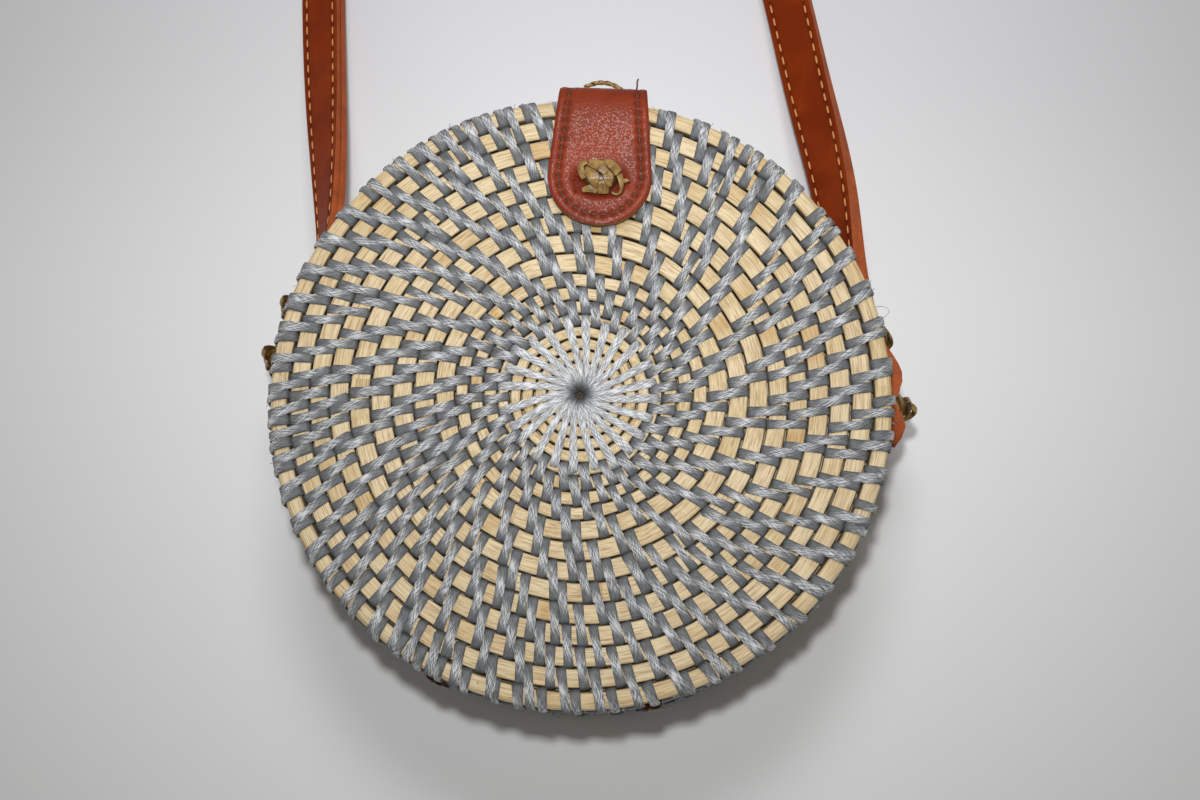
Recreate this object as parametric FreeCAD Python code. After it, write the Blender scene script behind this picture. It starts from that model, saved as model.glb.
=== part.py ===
import FreeCAD, Part
import math
import os

from FreeCAD import Vector

# Round crossbody bag lying on its back: +Z is the front face's normal, +Y points to the closure
# tab, and the origin is the centre of the back face. Lengths are in millimetres, angles in degrees.

# Woven shell
bag_radius = 100.0
bag_depth = 80.0
parting_height = 58.0
parting_gap = 0.3
cane_thickness = 5.0
hub_radius = 26.5
narrow_row_count = 3
narrow_row_pitch = 4.65
wide_row_count = 9
wall_row_pitch = 6.6
row_shoulder = 1.1
row_groove_depth = 1.0

# Cloth lining
lining_thickness = 0.8
lining_setback = 1.5

# Closure tab, two plies of leather folded over the rim
tab_ply = 1.3
ply_gap = 0.1
tab_wall_gap = 0.6
tab_face_gap = 0.4
tab_bend_radius = 2.0
tab_fold_width = 29.8
tab_widest = 34.0
tab_length = 48.0
tab_lean = 4.0
tab_hinge_gap = 0.3
tab_flap_drop = 19.0
tab_flap_corner = 6.0

# Press stud in the back wall, under the tab's flap
stud_drop = 6.5
stud_flange_radius = 5.0
stud_flange_thickness = 1.0
stud_shank_radius = 1.8
stud_nub_radius = 1.8
stud_nub_height = 0.8
socket_thickness = 1.2
socket_bore_radius = 3.0
socket_bore_depth = 0.95
washer_thickness = 1.0
stud_clearance = 0.1

# Leather hinges at the bottom
hinge_angle = 20.0
hinge_turn = -2.8
hinge_width = 8.0
hinge_length = 32.0
hinge_thickness = 1.4
leather_wall_gap = 0.3

# Rattan knots: length, width, height
closure_knot_size = (17.0, 12.0, 7.5)
tab_knot_size = (14.0, 11.0, 13.0)
strap_knot_size = (13.0, 9.5, 6.0)
hinge_knot_size = (7.5, 6.0, 1.6)
closure_knot_setback = 14.0
tab_knot_drop = 4.5
hinge_knot_offset = 9.5
knot_seat_gap = 0.1

# Shoulder strap, two plies of leather
strap_width = 17.0
strap_ply = 2.4
strap_wall_gap = 0.8
strap_drop = 10.0
strap_reach = 455.0
strap_end_angle = -2.5
strap_leave_angle = 21.0
strap_knot_angles = (6.4, 17.7)
strap_flex_line = 78.0
strap_flex_gap = 0.3
strap_floor_gap = 0.4
strap_station_step = 12.0

# Route of the strap from its left end to its right end. Each row holds the share of the bag's
# radius across, the share of the strap's reach along, the share of the anchor's height above the
# strap's rest on the table, and the angle by which the upper edge leans into the loop.
strap_route_shares = (
    (-0.945, 0.115, 0.86, 10.0),
    (-0.965, 0.165, 0.66, 22.0),
    (-1.045, 0.262, 0.30, 40.0),
    (-1.120, 0.352, 0.06, 50.0),
    (-1.180, 0.450, 0.00, 48.0),
    (-1.215, 0.560, 0.00, 32.0),
    (-1.205, 0.670, 0.00, 14.0),
    (-1.130, 0.780, 0.00, 4.0),
    (-0.985, 0.880, 0.00, 0.0),
    (-0.760, 0.958, 0.00, 0.0),
    (-0.460, 1.000, 0.00, 0.0),
    (-0.140, 0.990, 0.00, 0.0),
    (0.115, 0.938, 0.00, 0.0),
    (0.270, 0.860, 0.00, -4.0),
    (0.345, 0.762, 0.00, -16.0),
    (0.395, 0.660, 0.00, -34.0),
    (0.440, 0.560, 0.00, -52.0),
    (0.525, 0.468, 0.00, -64.0),
    (0.645, 0.375, 0.08, -66.0),
    (0.752, 0.289, 0.27, -58.0),
    (0.868, 0.192, 0.58, -40.0),
    (0.938, 0.115, 0.85, -16.0),
)

# Shape of the rounded strap end: share of the half width along, share of the half width across
strap_tip_shares = ((0.0, 0.3), (0.08, 0.39), (0.3, 0.71), (0.6, 0.92), (1.0, 1.0))

# Rattan knot: stations of its bun, as shares of its length, with the share of its full section
knot_station_shares = ((-0.5, 0.45), (-0.3, 0.84), (0.0, 0.9), (0.3, 0.84), (0.5, 0.45))
knot_section_shares = (
    (0.5, 0.0), (0.46, 0.52), (0.26, 0.98), (-0.26, 0.98), (-0.46, 0.52), (-0.5, 0.0),
)
knot_wrap_width_share = 0.24
knot_wrap_rise_share = 0.12
knot_wrap_turn = 38.0

# Derived sizes that several pieces share
wall_inner_radius = bag_radius - cane_thickness
lining_radius = wall_inner_radius - lining_thickness
panel_inner_height = bag_depth - cane_thickness
tab_thickness = tab_ply + ply_gap + tab_ply
tab_back_plane = bag_radius + tab_wall_gap
tab_under_plane = bag_depth + tab_face_gap
tab_top_plane = tab_under_plane + tab_thickness
tab_fold_plane = tab_back_plane + tab_thickness
tab_tip = tab_fold_plane - tab_length
tab_bend_y = tab_back_plane - tab_bend_radius
tab_bend_z = tab_under_plane - tab_bend_radius
stud_height = parting_height - stud_drop
strap_height = parting_height - strap_drop
strap_thickness = strap_ply + ply_gap + strap_ply
strap_line_radius = bag_radius + strap_wall_gap + strap_thickness / 2
cut_overrun = bag_depth


def ring_solid(outline):
    """Revolve a closed outline of (radius, height) points about the Z axis."""
    points = [Vector(radius, 0, height) for radius, height in outline]
    face = Part.Face(Part.makePolygon(points + points[:1]))
    return face.revolve(Vector(), Vector(0, 0, 1), 360)


def faceted_solid(rings, twisted):
    """Solid through rings of points, with flat sides, each cut in two triangles where it twists.

    The cut runs the same way on opposite sides of a ring, so that two plies stay parallel.
    """
    faces = [rings[0], rings[-1]]
    for low, high in zip(rings[:-1], rings[1:]):
        for corner in range(len(low)):
            after = (corner + 1) % len(low)
            side = [low[corner], low[after], high[after], high[corner]]
            if corner >= len(low) / 2:
                side = side[1:] + side[:1]
            faces += [side[:3], side[2:] + side[:1]] if twisted else [side]
    shell = Part.Shell([Part.Face(Part.makePolygon(face + face[:1])) for face in faces])
    solid = Part.Solid(shell)
    if solid.Volume < 0:
        solid.reverse()
    return solid


def rows_between(start, end, pitch):
    """Edges of the whole rows that fill a span at about the given pitch."""
    count = max(round(abs(end - start) / pitch), 1)
    return [start + (end - start) * row / count for row in range(count + 1)]


def panel_row_edges():
    """Radii of the joints between the coil's rows on a panel, from the hub to the rim."""
    narrow = [hub_radius + narrow_row_pitch * row for row in range(narrow_row_count)]
    first_wide = hub_radius + narrow_row_pitch * narrow_row_count
    wide_pitch = (bag_radius - first_wide) / wide_row_count
    return narrow + [first_wide + wide_pitch * row for row in range(wide_row_count)]


def woven_panel():
    """Back panel: a disc whose outer face has one flat land for each row of the coil."""
    outline = [(0, 0)]
    for radius in panel_row_edges():
        outline.append((radius - row_shoulder, 0))
        outline.append((radius, row_groove_depth))
        outline.append((radius + row_shoulder, 0))
    outline.append((bag_radius - row_shoulder, 0))
    outline.append((bag_radius, row_groove_depth))
    outline.append((bag_radius, cane_thickness - row_shoulder))
    outline.append((bag_radius - row_groove_depth, cane_thickness))
    outline.append((0, cane_thickness))
    return ring_solid(outline)


def woven_wall(bottom, top):
    """Side wall: a ring with one land for each row of the coil on its outer face."""
    outline = [(wall_inner_radius, bottom), (bag_radius - row_groove_depth, bottom)]
    edges = rows_between(bottom, top, wall_row_pitch)
    for low, high in zip(edges[:-1], edges[1:]):
        outline.append((bag_radius, low + row_shoulder))
        outline.append((bag_radius, high - row_shoulder))
        outline.append((bag_radius - row_groove_depth, high))
    outline.append((wall_inner_radius, top))
    return ring_solid(outline)


def lining_cup(floor, rim):
    """Cloth cup glued to a panel's inner face and a wall's inner face."""
    inner_floor = floor + math.copysign(lining_thickness, rim - floor)
    outline = [(0, floor), (wall_inner_radius, floor), (wall_inner_radius, rim)]
    outline += [(lining_radius, rim), (lining_radius, inner_floor), (0, inner_floor)]
    return ring_solid(outline)


def leaned(point):
    """Turn a point of the closure tab by the tab's lean about the middle of its fold."""
    turn = FreeCAD.Rotation(Vector(0, 0, 1), tab_lean)
    pivot = Vector(0, tab_fold_plane, 0)
    return pivot + turn.multVec(point - pivot)


def stud_post(radius, inner, outer):
    """Level cylinder on the press stud's axis, between two distances from the bag's middle."""
    return Part.makeCylinder(radius, outer - inner, Vector(0, inner, stud_height), Vector(0, 1, 0))


def washer_seat():
    """Distance from the bag's middle at which the washer's rim touches the curved lining."""
    return math.sqrt(lining_radius ** 2 - stud_flange_radius ** 2) - stud_clearance


def snap_stud():
    """Press stud: a flange sunk in the back wall, a nub outside it and a shank through to the washer."""
    flange = stud_post(stud_flange_radius, bag_radius - stud_flange_thickness, bag_radius)
    shank = stud_post(stud_shank_radius, washer_seat() - washer_thickness, bag_radius)
    nub = stud_post(stud_nub_radius, bag_radius, bag_radius + stud_nub_height)
    return flange.fuse([shank, nub]).removeSplitter()


def stud_hole():
    """Room that the press stud takes in the back wall and its lining."""
    flange_room = stud_flange_radius + stud_clearance
    flange = stud_post(flange_room, bag_radius - stud_flange_thickness, bag_radius + cut_overrun)
    shank = stud_post(stud_shank_radius + stud_clearance, lining_radius - cane_thickness, bag_radius)
    return flange.fuse(shank)


def snap_washer():
    """Washer that clamps the press stud against the lining."""
    seat = washer_seat()
    washer = stud_post(stud_flange_radius, seat - washer_thickness, seat)
    return washer.cut(stud_post(stud_shank_radius + stud_clearance, seat - cut_overrun, seat))


def snap_socket():
    """Socket disc set in the flap's inner ply, with the recess that takes the nub."""
    disc = stud_post(stud_flange_radius, tab_back_plane, tab_back_plane + socket_thickness)
    recess = stud_post(socket_bore_radius, bag_radius, tab_back_plane + socket_bore_depth)
    return disc.cut(recess)


def tab_section(inset):
    """Face of one ply of the tab, seen from the side: up the wall, round the fold, over the front."""

    def bend(radius):
        ring = [Vector(0, tab_bend_y + radius * math.cos(turn), tab_bend_z + radius * math.sin(turn))
                for turn in (0, math.pi / 4, math.pi / 2)]
        return Part.Arc(*ring).toShape()

    near = tab_bend_radius + inset
    far = near + tab_ply
    bottom = parting_height - tab_flap_drop
    end = tab_tip - tab_widest
    inner_wall = [Vector(0, tab_bend_y + near, height) for height in (bottom, tab_bend_z)]
    outer_wall = [Vector(0, tab_bend_y + far, height) for height in (bottom, tab_bend_z)]
    inner_front = [Vector(0, along, tab_bend_z + near) for along in (tab_bend_y, end)]
    outer_front = [Vector(0, along, tab_bend_z + far) for along in (tab_bend_y, end)]
    edges = [
        Part.makeLine(*inner_wall), bend(near), Part.makeLine(*inner_front),
        Part.makeLine(inner_front[1], outer_front[1]),
        Part.makeLine(*outer_front), bend(far), Part.makeLine(*outer_wall),
        Part.makeLine(outer_wall[0], inner_wall[0]),
    ]
    return Part.Face(Part.Wire(Part.__sortEdges__(edges)))


def tab_plan():
    """Upright prism of the tab's outline seen from the front, leaning as the tab does."""
    half_fold = tab_fold_width / 2
    half_wide = tab_widest / 2
    shoulder = tab_tip + half_wide
    back = tab_fold_plane + tab_thickness
    left_back = leaned(Vector(-half_fold, back, 0))
    left_wide = leaned(Vector(-half_wide, shoulder, 0))
    tip = leaned(Vector(0, tab_tip, 0))
    right_wide = leaned(Vector(half_wide, shoulder, 0))
    right_back = leaned(Vector(half_fold, back, 0))
    edges = [
        Part.makeLine(left_back, left_wide),
        Part.Arc(left_wide, tip, right_wide).toShape(),
        Part.makeLine(right_wide, right_back),
        Part.makeLine(right_back, left_back),
    ]
    return Part.Face(Part.Wire(edges)).extrude(Vector(0, 0, bag_depth + cut_overrun))


def flap_plan():
    """Level prism of the tab's outline seen from the closure side, with the flap's rounded corners."""
    half = tab_fold_width / 2
    low = parting_height - tab_flap_drop
    high = bag_depth + cut_overrun
    diagonal = tab_flap_corner * (1 - math.sqrt(0.5))

    def corner(side):
        side_point = Vector(side * half, 0, low + tab_flap_corner)
        middle_point = Vector(side * (half - diagonal), 0, low + diagonal)
        low_point = Vector(side * (half - tab_flap_corner), 0, low)
        return side_point, middle_point, low_point

    left_side, left_middle, left_low = corner(-1)
    right_side, right_middle, right_low = corner(1)
    left_top = Vector(-half, 0, high)
    right_top = Vector(half, 0, high)
    edges = [
        Part.makeLine(left_top, left_side),
        Part.Arc(left_side, left_middle, left_low).toShape(),
        Part.makeLine(left_low, right_low),
        Part.Arc(right_low, right_middle, right_side).toShape(),
        Part.makeLine(right_side, right_top),
        Part.makeLine(right_top, left_top),
    ]
    return Part.Face(Part.Wire(edges)).extrude(Vector(0, tab_fold_plane + cut_overrun, 0))


def tab_pieces(inset):
    """One ply of the tab, cut at its fold: the end tied to the front panel, and the flap."""
    section = tab_section(inset)
    section.translate(Vector(-tab_widest, 0, 0))
    leather = section.extrude(Vector(tab_widest * 2, 0, 0)).common(tab_plan())
    room = cut_overrun * 2
    front_edge = tab_bend_y - tab_hinge_gap / 2
    flap_edge = tab_bend_y + tab_hinge_gap / 2
    front_room = Part.makeBox(room, room, room, Vector(-room / 2, front_edge - room, 0))
    flap_room = Part.makeBox(room, room, room, Vector(-room / 2, flap_edge, 0))
    return leather.common(front_room), leather.common(flap_room).common(flap_plan())


def knot_bun(length, width, height, grow):
    """Faceted bun with its flat base at z = 0 and its long side along X."""
    rings = []
    for along, size in knot_station_shares:
        scale = size + grow
        rings.append([Vector(along * length, across * width * scale, up * height * scale)
                      for across, up in knot_section_shares])
    return faceted_solid(rings, False)


def knot_wrap(size, turn):
    """One strand laid across the knot: a slanting slice of a slightly larger bun."""
    length, width, height = size
    slice_width = length * knot_wrap_width_share
    span = length * 2
    slab = Part.makeBox(slice_width, span, height * 2, Vector(-slice_width / 2, -span / 2, 0))
    slab.rotate(Vector(), Vector(0, 0, 1), turn)
    return knot_bun(length, width, height, knot_wrap_rise_share).common(slab)


def knot(size):
    """Rattan knot: a bun of strands with two strands crossing over its top."""
    core = knot_bun(*size, 0)
    wraps = [knot_wrap(size, turn) for turn in (-knot_wrap_turn, knot_wrap_turn)]
    return core.fuse(wraps).removeSplitter()


def knot_on_wall(size, angle, radius, height, upright):
    """Knot seated on the side of the bag at an angle from +X, its base at the given radius."""
    shape = knot(size)
    if upright:
        shape.rotate(Vector(), Vector(0, 0, 1), 90)
    shape.rotate(Vector(), Vector(1, 0, 0), 90)
    shape.rotate(Vector(), Vector(0, 0, 1), angle + 90)
    out = Vector(math.cos(math.radians(angle)), math.sin(math.radians(angle)), 0)
    shape.translate(out * (radius + knot_seat_gap) + Vector(0, 0, height))
    return shape


def closure_knot():
    """Knot that ties the closure tab to the front panel."""
    shape = knot(closure_knot_size)
    shape.rotate(Vector(), Vector(0, 0, 1), tab_lean)
    place = leaned(Vector(0, tab_tip + closure_knot_setback, 0))
    shape.translate(place + Vector(0, 0, tab_top_plane + knot_seat_gap))
    return shape


def hinge_leather(angle):
    """Leather tab that lies over the parting line on the outside of both walls."""
    inner = bag_radius + leather_wall_gap
    outer = inner + hinge_thickness
    low = parting_height - hinge_length / 2
    high = parting_height + hinge_length / 2
    sweep = math.degrees(hinge_width / inner)
    section = [(inner, low), (outer, low), (outer, high), (inner, high)]
    points = [Vector(radius, 0, height) for radius, height in section]
    face = Part.Face(Part.makePolygon(points + points[:1]))
    shape = face.revolve(Vector(), Vector(0, 0, 1), sweep)
    shape.rotate(Vector(), Vector(0, 0, 1), angle - sweep / 2)
    return shape


def strap_rest_height(lean):
    """Height of the strap's middle line where its lower edge rests on the table."""
    turn = math.radians(abs(lean))
    half_section = (strap_width * math.cos(turn) + strap_thickness * math.sin(turn)) / 2
    return half_section + strap_floor_gap


def strap_wall_point(side, angle):
    """Point of the strap's middle line where it lies against the wall."""
    turn = math.radians(angle)
    across = side * strap_line_radius * math.cos(turn)
    return Vector(across, strap_line_radius * math.sin(turn), strap_height)


def strap_wall_heading(side, angle):
    """Direction of the strap along the wall, towards the closure."""
    turn = math.radians(angle)
    return Vector(-side * math.sin(turn), math.cos(turn), 0)


def strap_free_line():
    """Smooth middle line of the strap, guided by the wall at both ends, with the lean at its points."""
    guide_angle = (strap_end_angle + strap_leave_angle) / 2
    points = [strap_wall_point(-1, guide_angle), strap_wall_point(-1, strap_leave_angle)]
    leans = [0.0, 0.0]
    for across, along, rise, lean in strap_route_shares:
        rest = strap_rest_height(lean)
        height = rest + (strap_height - rest) * rise
        points.append(Vector(across * bag_radius, along * strap_reach, height))
        leans.append(lean)
    points += [strap_wall_point(1, strap_leave_angle), strap_wall_point(1, guide_angle)]
    leans += [0.0, 0.0]
    line = Part.BSplineCurve()
    line.interpolate(points)
    return line, [(line.parameter(point), lean) for point, lean in zip(points, leans)]


def lean_at(parameter, leans):
    """Lean between the two route points on either side of a parameter."""
    for (start, first), (end, second) in zip(leans[:-1], leans[1:]):
        if parameter <= end:
            share = (parameter - start) / (end - start)
            return first + (second - first) * share
    return leans[-1][1]


def strap_end_stations(side):
    """Sections of the strap along the wall, from the rounded end to where the strap leaves it."""
    tip_radius = strap_width / 2
    stations = []
    for along, across in strap_tip_shares:
        angle = strap_end_angle + math.degrees(along * tip_radius / strap_line_radius)
        stations.append((angle, across))
    first = stations[-1][0]
    steps = math.ceil(math.radians(strap_leave_angle - first) * strap_line_radius / strap_station_step)
    for step in range(1, steps):
        stations.append((first + (strap_leave_angle - first) * step / steps, 1.0))
    return [(strap_wall_point(side, angle), strap_wall_heading(side, angle), across, 0.0)
            for angle, across in stations]


def strap_stations():
    """Sections of the whole strap in order: middle point, direction, share of the width, lean."""
    line, leans = strap_free_line()
    first = leans[1][0]
    last = leans[-2][0]
    count = math.ceil(line.length(first, last) / strap_station_step)
    free = []
    for point in line.discretize(Number=count + 1, First=first, Last=last):
        parameter = line.parameter(point)
        free.append((point, line.tangent(parameter)[0], 1.0, lean_at(parameter, leans)))
    right = [(point, heading * -1, across, lean) for point, heading, across, lean in strap_end_stations(1)]
    return strap_end_stations(-1) + free + right[::-1]


def strap_leather(low, high):
    """One ply of the whole strap, between two distances from its middle line towards the outside."""
    rings = []
    for point, heading, across, lean in strap_stations():
        inward = heading.cross(Vector(0, 0, 1)).normalize()
        upright = inward.cross(heading).normalize()
        turn = math.radians(lean)
        rise = upright * math.cos(turn) + inward * math.sin(turn)
        outward = upright * math.sin(turn) - inward * math.cos(turn)
        half = rise * (strap_width / 2 * across)
        rings.append([point + half + outward * low, point + half + outward * high,
                      point - half + outward * high, point - half + outward * low])
    return faceted_solid(rings, True)


def strap_pieces(low, high):
    """One ply of the strap, cut at its flex line: left end, right end and the loop."""
    leather = strap_leather(low, high)
    reach = strap_reach + bag_radius * 2
    near_edge = strap_flex_line - strap_flex_gap / 2
    far_edge = strap_flex_line + strap_flex_gap / 2
    left_room = Part.makeBox(reach, reach, reach, Vector(-reach, near_edge - reach, -reach / 2))
    right_room = Part.makeBox(reach, reach, reach, Vector(0, near_edge - reach, -reach / 2))
    loop_room = Part.makeBox(reach * 2, reach, reach, Vector(-reach, far_edge, -reach / 2))
    return [leather.common(room) for room in (left_room, right_room, loop_room)]


def build():
    """All pieces of the bag by node name."""
    half_gap = parting_gap / 2
    middle = Vector(0, 0, bag_depth / 2)
    up = Vector(0, 0, 1)
    pieces = {}

    panel = woven_panel()
    pieces["back_panel"] = panel
    pieces["back_wall"] = woven_wall(cane_thickness, parting_height - half_gap).cut(stud_hole())
    back_cup = lining_cup(cane_thickness, parting_height - lining_setback)
    pieces["back_lining"] = back_cup.cut(stud_hole())
    pieces["front_panel"] = panel.mirror(middle, up)
    pieces["front_wall"] = woven_wall(parting_height + half_gap, panel_inner_height)
    pieces["front_lining"] = lining_cup(panel_inner_height, parting_height + lining_setback)
    pieces["snap_stud"] = snap_stud()
    pieces["snap_washer"] = snap_washer()

    socket_top = tab_back_plane + tab_ply + ply_gap / 2
    socket_room = stud_post(stud_flange_radius + stud_clearance, bag_radius, socket_top)
    outer_front, outer_flap = tab_pieces(tab_ply + ply_gap)
    inner_front, inner_flap = tab_pieces(0)
    pieces["tab_front_outer_ply"] = outer_front
    pieces["tab_front_inner_ply"] = inner_front
    pieces["tab_flap_outer_ply"] = outer_flap
    pieces["tab_flap_inner_ply"] = inner_flap.cut(socket_room)
    pieces["snap_socket"] = snap_socket()
    pieces["closure_knot"] = closure_knot()
    pieces["tab_knot"] = knot_on_wall(
        tab_knot_size, 90, tab_fold_plane, parting_height - tab_knot_drop, False
    )

    hinge_face = bag_radius + leather_wall_gap + hinge_thickness
    hinge_middle = hinge_turn - 90
    for name, angle in (("left", hinge_middle - hinge_angle), ("right", hinge_middle + hinge_angle)):
        pieces["hinge_" + name] = hinge_leather(angle)
        for half, offset in (("back", -hinge_knot_offset), ("front", hinge_knot_offset)):
            pieces["hinge_knot_" + name + "_" + half] = knot_on_wall(
                hinge_knot_size, angle, hinge_face, parting_height + offset, False
            )

    plies = {"outer": (ply_gap / 2, strap_thickness / 2), "inner": (-strap_thickness / 2, -ply_gap / 2)}
    for ply, (low, high) in plies.items():
        left, right, loop = strap_pieces(low, high)
        pieces["strap_end_left_" + ply + "_ply"] = left
        pieces["strap_end_right_" + ply + "_ply"] = right
        pieces["strap_" + ply + "_ply"] = loop

    strap_face = bag_radius + strap_wall_gap + strap_thickness
    for level, angle in zip(("lower", "upper"), strap_knot_angles):
        for name, place in (("left", 180 - angle), ("right", angle)):
            pieces["strap_knot_" + name + "_" + level] = knot_on_wall(
                strap_knot_size, place, strap_face, strap_height, True
            )
    return pieces


os.makedirs("parts", exist_ok=True)
for node, shape in build().items():
    shape.exportStep("parts/" + node + ".step")
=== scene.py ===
import logging
import math
import random
from collections.abc import Callable, Iterable
from dataclasses import dataclass, field
from enum import Enum

import bpy
import numpy as np
from mathutils import Matrix, Vector


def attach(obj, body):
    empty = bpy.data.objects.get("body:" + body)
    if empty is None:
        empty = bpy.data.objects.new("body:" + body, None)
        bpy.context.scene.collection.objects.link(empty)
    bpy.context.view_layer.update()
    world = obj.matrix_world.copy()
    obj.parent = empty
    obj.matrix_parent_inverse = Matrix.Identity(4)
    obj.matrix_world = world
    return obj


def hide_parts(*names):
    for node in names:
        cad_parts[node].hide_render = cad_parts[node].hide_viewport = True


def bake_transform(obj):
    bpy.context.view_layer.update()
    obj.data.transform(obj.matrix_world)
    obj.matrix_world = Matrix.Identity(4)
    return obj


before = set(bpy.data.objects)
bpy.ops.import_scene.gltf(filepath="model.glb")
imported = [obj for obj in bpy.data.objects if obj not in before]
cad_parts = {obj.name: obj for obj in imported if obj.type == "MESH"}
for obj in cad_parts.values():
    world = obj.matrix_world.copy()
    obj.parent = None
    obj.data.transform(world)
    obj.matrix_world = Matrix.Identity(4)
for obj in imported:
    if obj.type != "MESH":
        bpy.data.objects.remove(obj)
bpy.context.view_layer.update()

# Round woven crossbody bag, lying on its back. Sizes are in millimetres and turned into metres
# where a mesh is made; +Z is out of the front face and +Y points to the closure tab.

MM = 0.001
LOG = logging.getLogger("round_bag")
Pair = tuple[float, float]
Point = tuple[float, float, float]
Strand = tuple[tuple[float, ...], tuple[Point, ...]]


def linear(code: str) -> tuple[float, float, float, float]:
    """Turn a colour code such as "E3C896" into the linear colour that shaders take.

    Args:
        code: six digits of red, green and blue.

    Returns:
        Red, green, blue and an alpha of one.
    """
    parts = [int(code[at:at + 2], 16) / 255 for at in (0, 2, 4)]
    red, green, blue = [p / 12.92 if p <= 0.04045 else ((p + 0.055) / 1.055) ** 2.4 for p in parts]
    return (red, green, blue, 1.0)


class Half(Enum):
    """Half of the bag, with its label and the way its face points."""

    BACK = ("back", -1)
    FRONT = ("front", 1)

    @property
    def label(self) -> str:
        """Word that the names of this half's pieces start with."""
        return self.value[0]

    @property
    def body(self) -> str:
        """Name of the body that carries this half."""
        return f"{self.label}_half"

    @property
    def side(self) -> int:
        """Plus one for the half whose face points up, minus one for the other."""
        return self.value[1]


class Value:
    """Number on its way through a material's nodes, on which ordinary sums work."""

    def __init__(self, shader: "Shader", socket: bpy.types.NodeSocket) -> None:
        """Wrap a socket of the given shader."""
        self.shader = shader
        self.socket = socket

    def __add__(self, other: "Value | float") -> "Value":
        """Sum."""
        return self.shader.maths("ADD", self, other)

    def __sub__(self, other: "Value | float") -> "Value":
        """Difference."""
        return self.shader.maths("SUBTRACT", self, other)

    def __rsub__(self, other: float) -> "Value":
        """Difference with the number first."""
        return self.shader.maths("SUBTRACT", other, self)

    def __mul__(self, other: "Value | float") -> "Value":
        """Product."""
        return self.shader.maths("MULTIPLY", self, other)

    def __truediv__(self, other: "Value | float") -> "Value":
        """Quotient."""
        return self.shader.maths("DIVIDE", self, other)

    def __pow__(self, other: "Value | float") -> "Value":
        """Power."""
        return self.shader.maths("POWER", self, other)

    def __rtruediv__(self, other: float) -> "Value":
        """Quotient with the number first."""
        return self.shader.maths("DIVIDE", other, self)

    def __rpow__(self, other: float) -> "Value":
        """Power of a number."""
        return self.shader.maths("POWER", other, self)

    def __abs__(self) -> "Value":
        """Size without its sign."""
        return self.shader.maths("ABSOLUTE", self)

    __radd__ = __add__
    __rmul__ = __mul__


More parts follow.
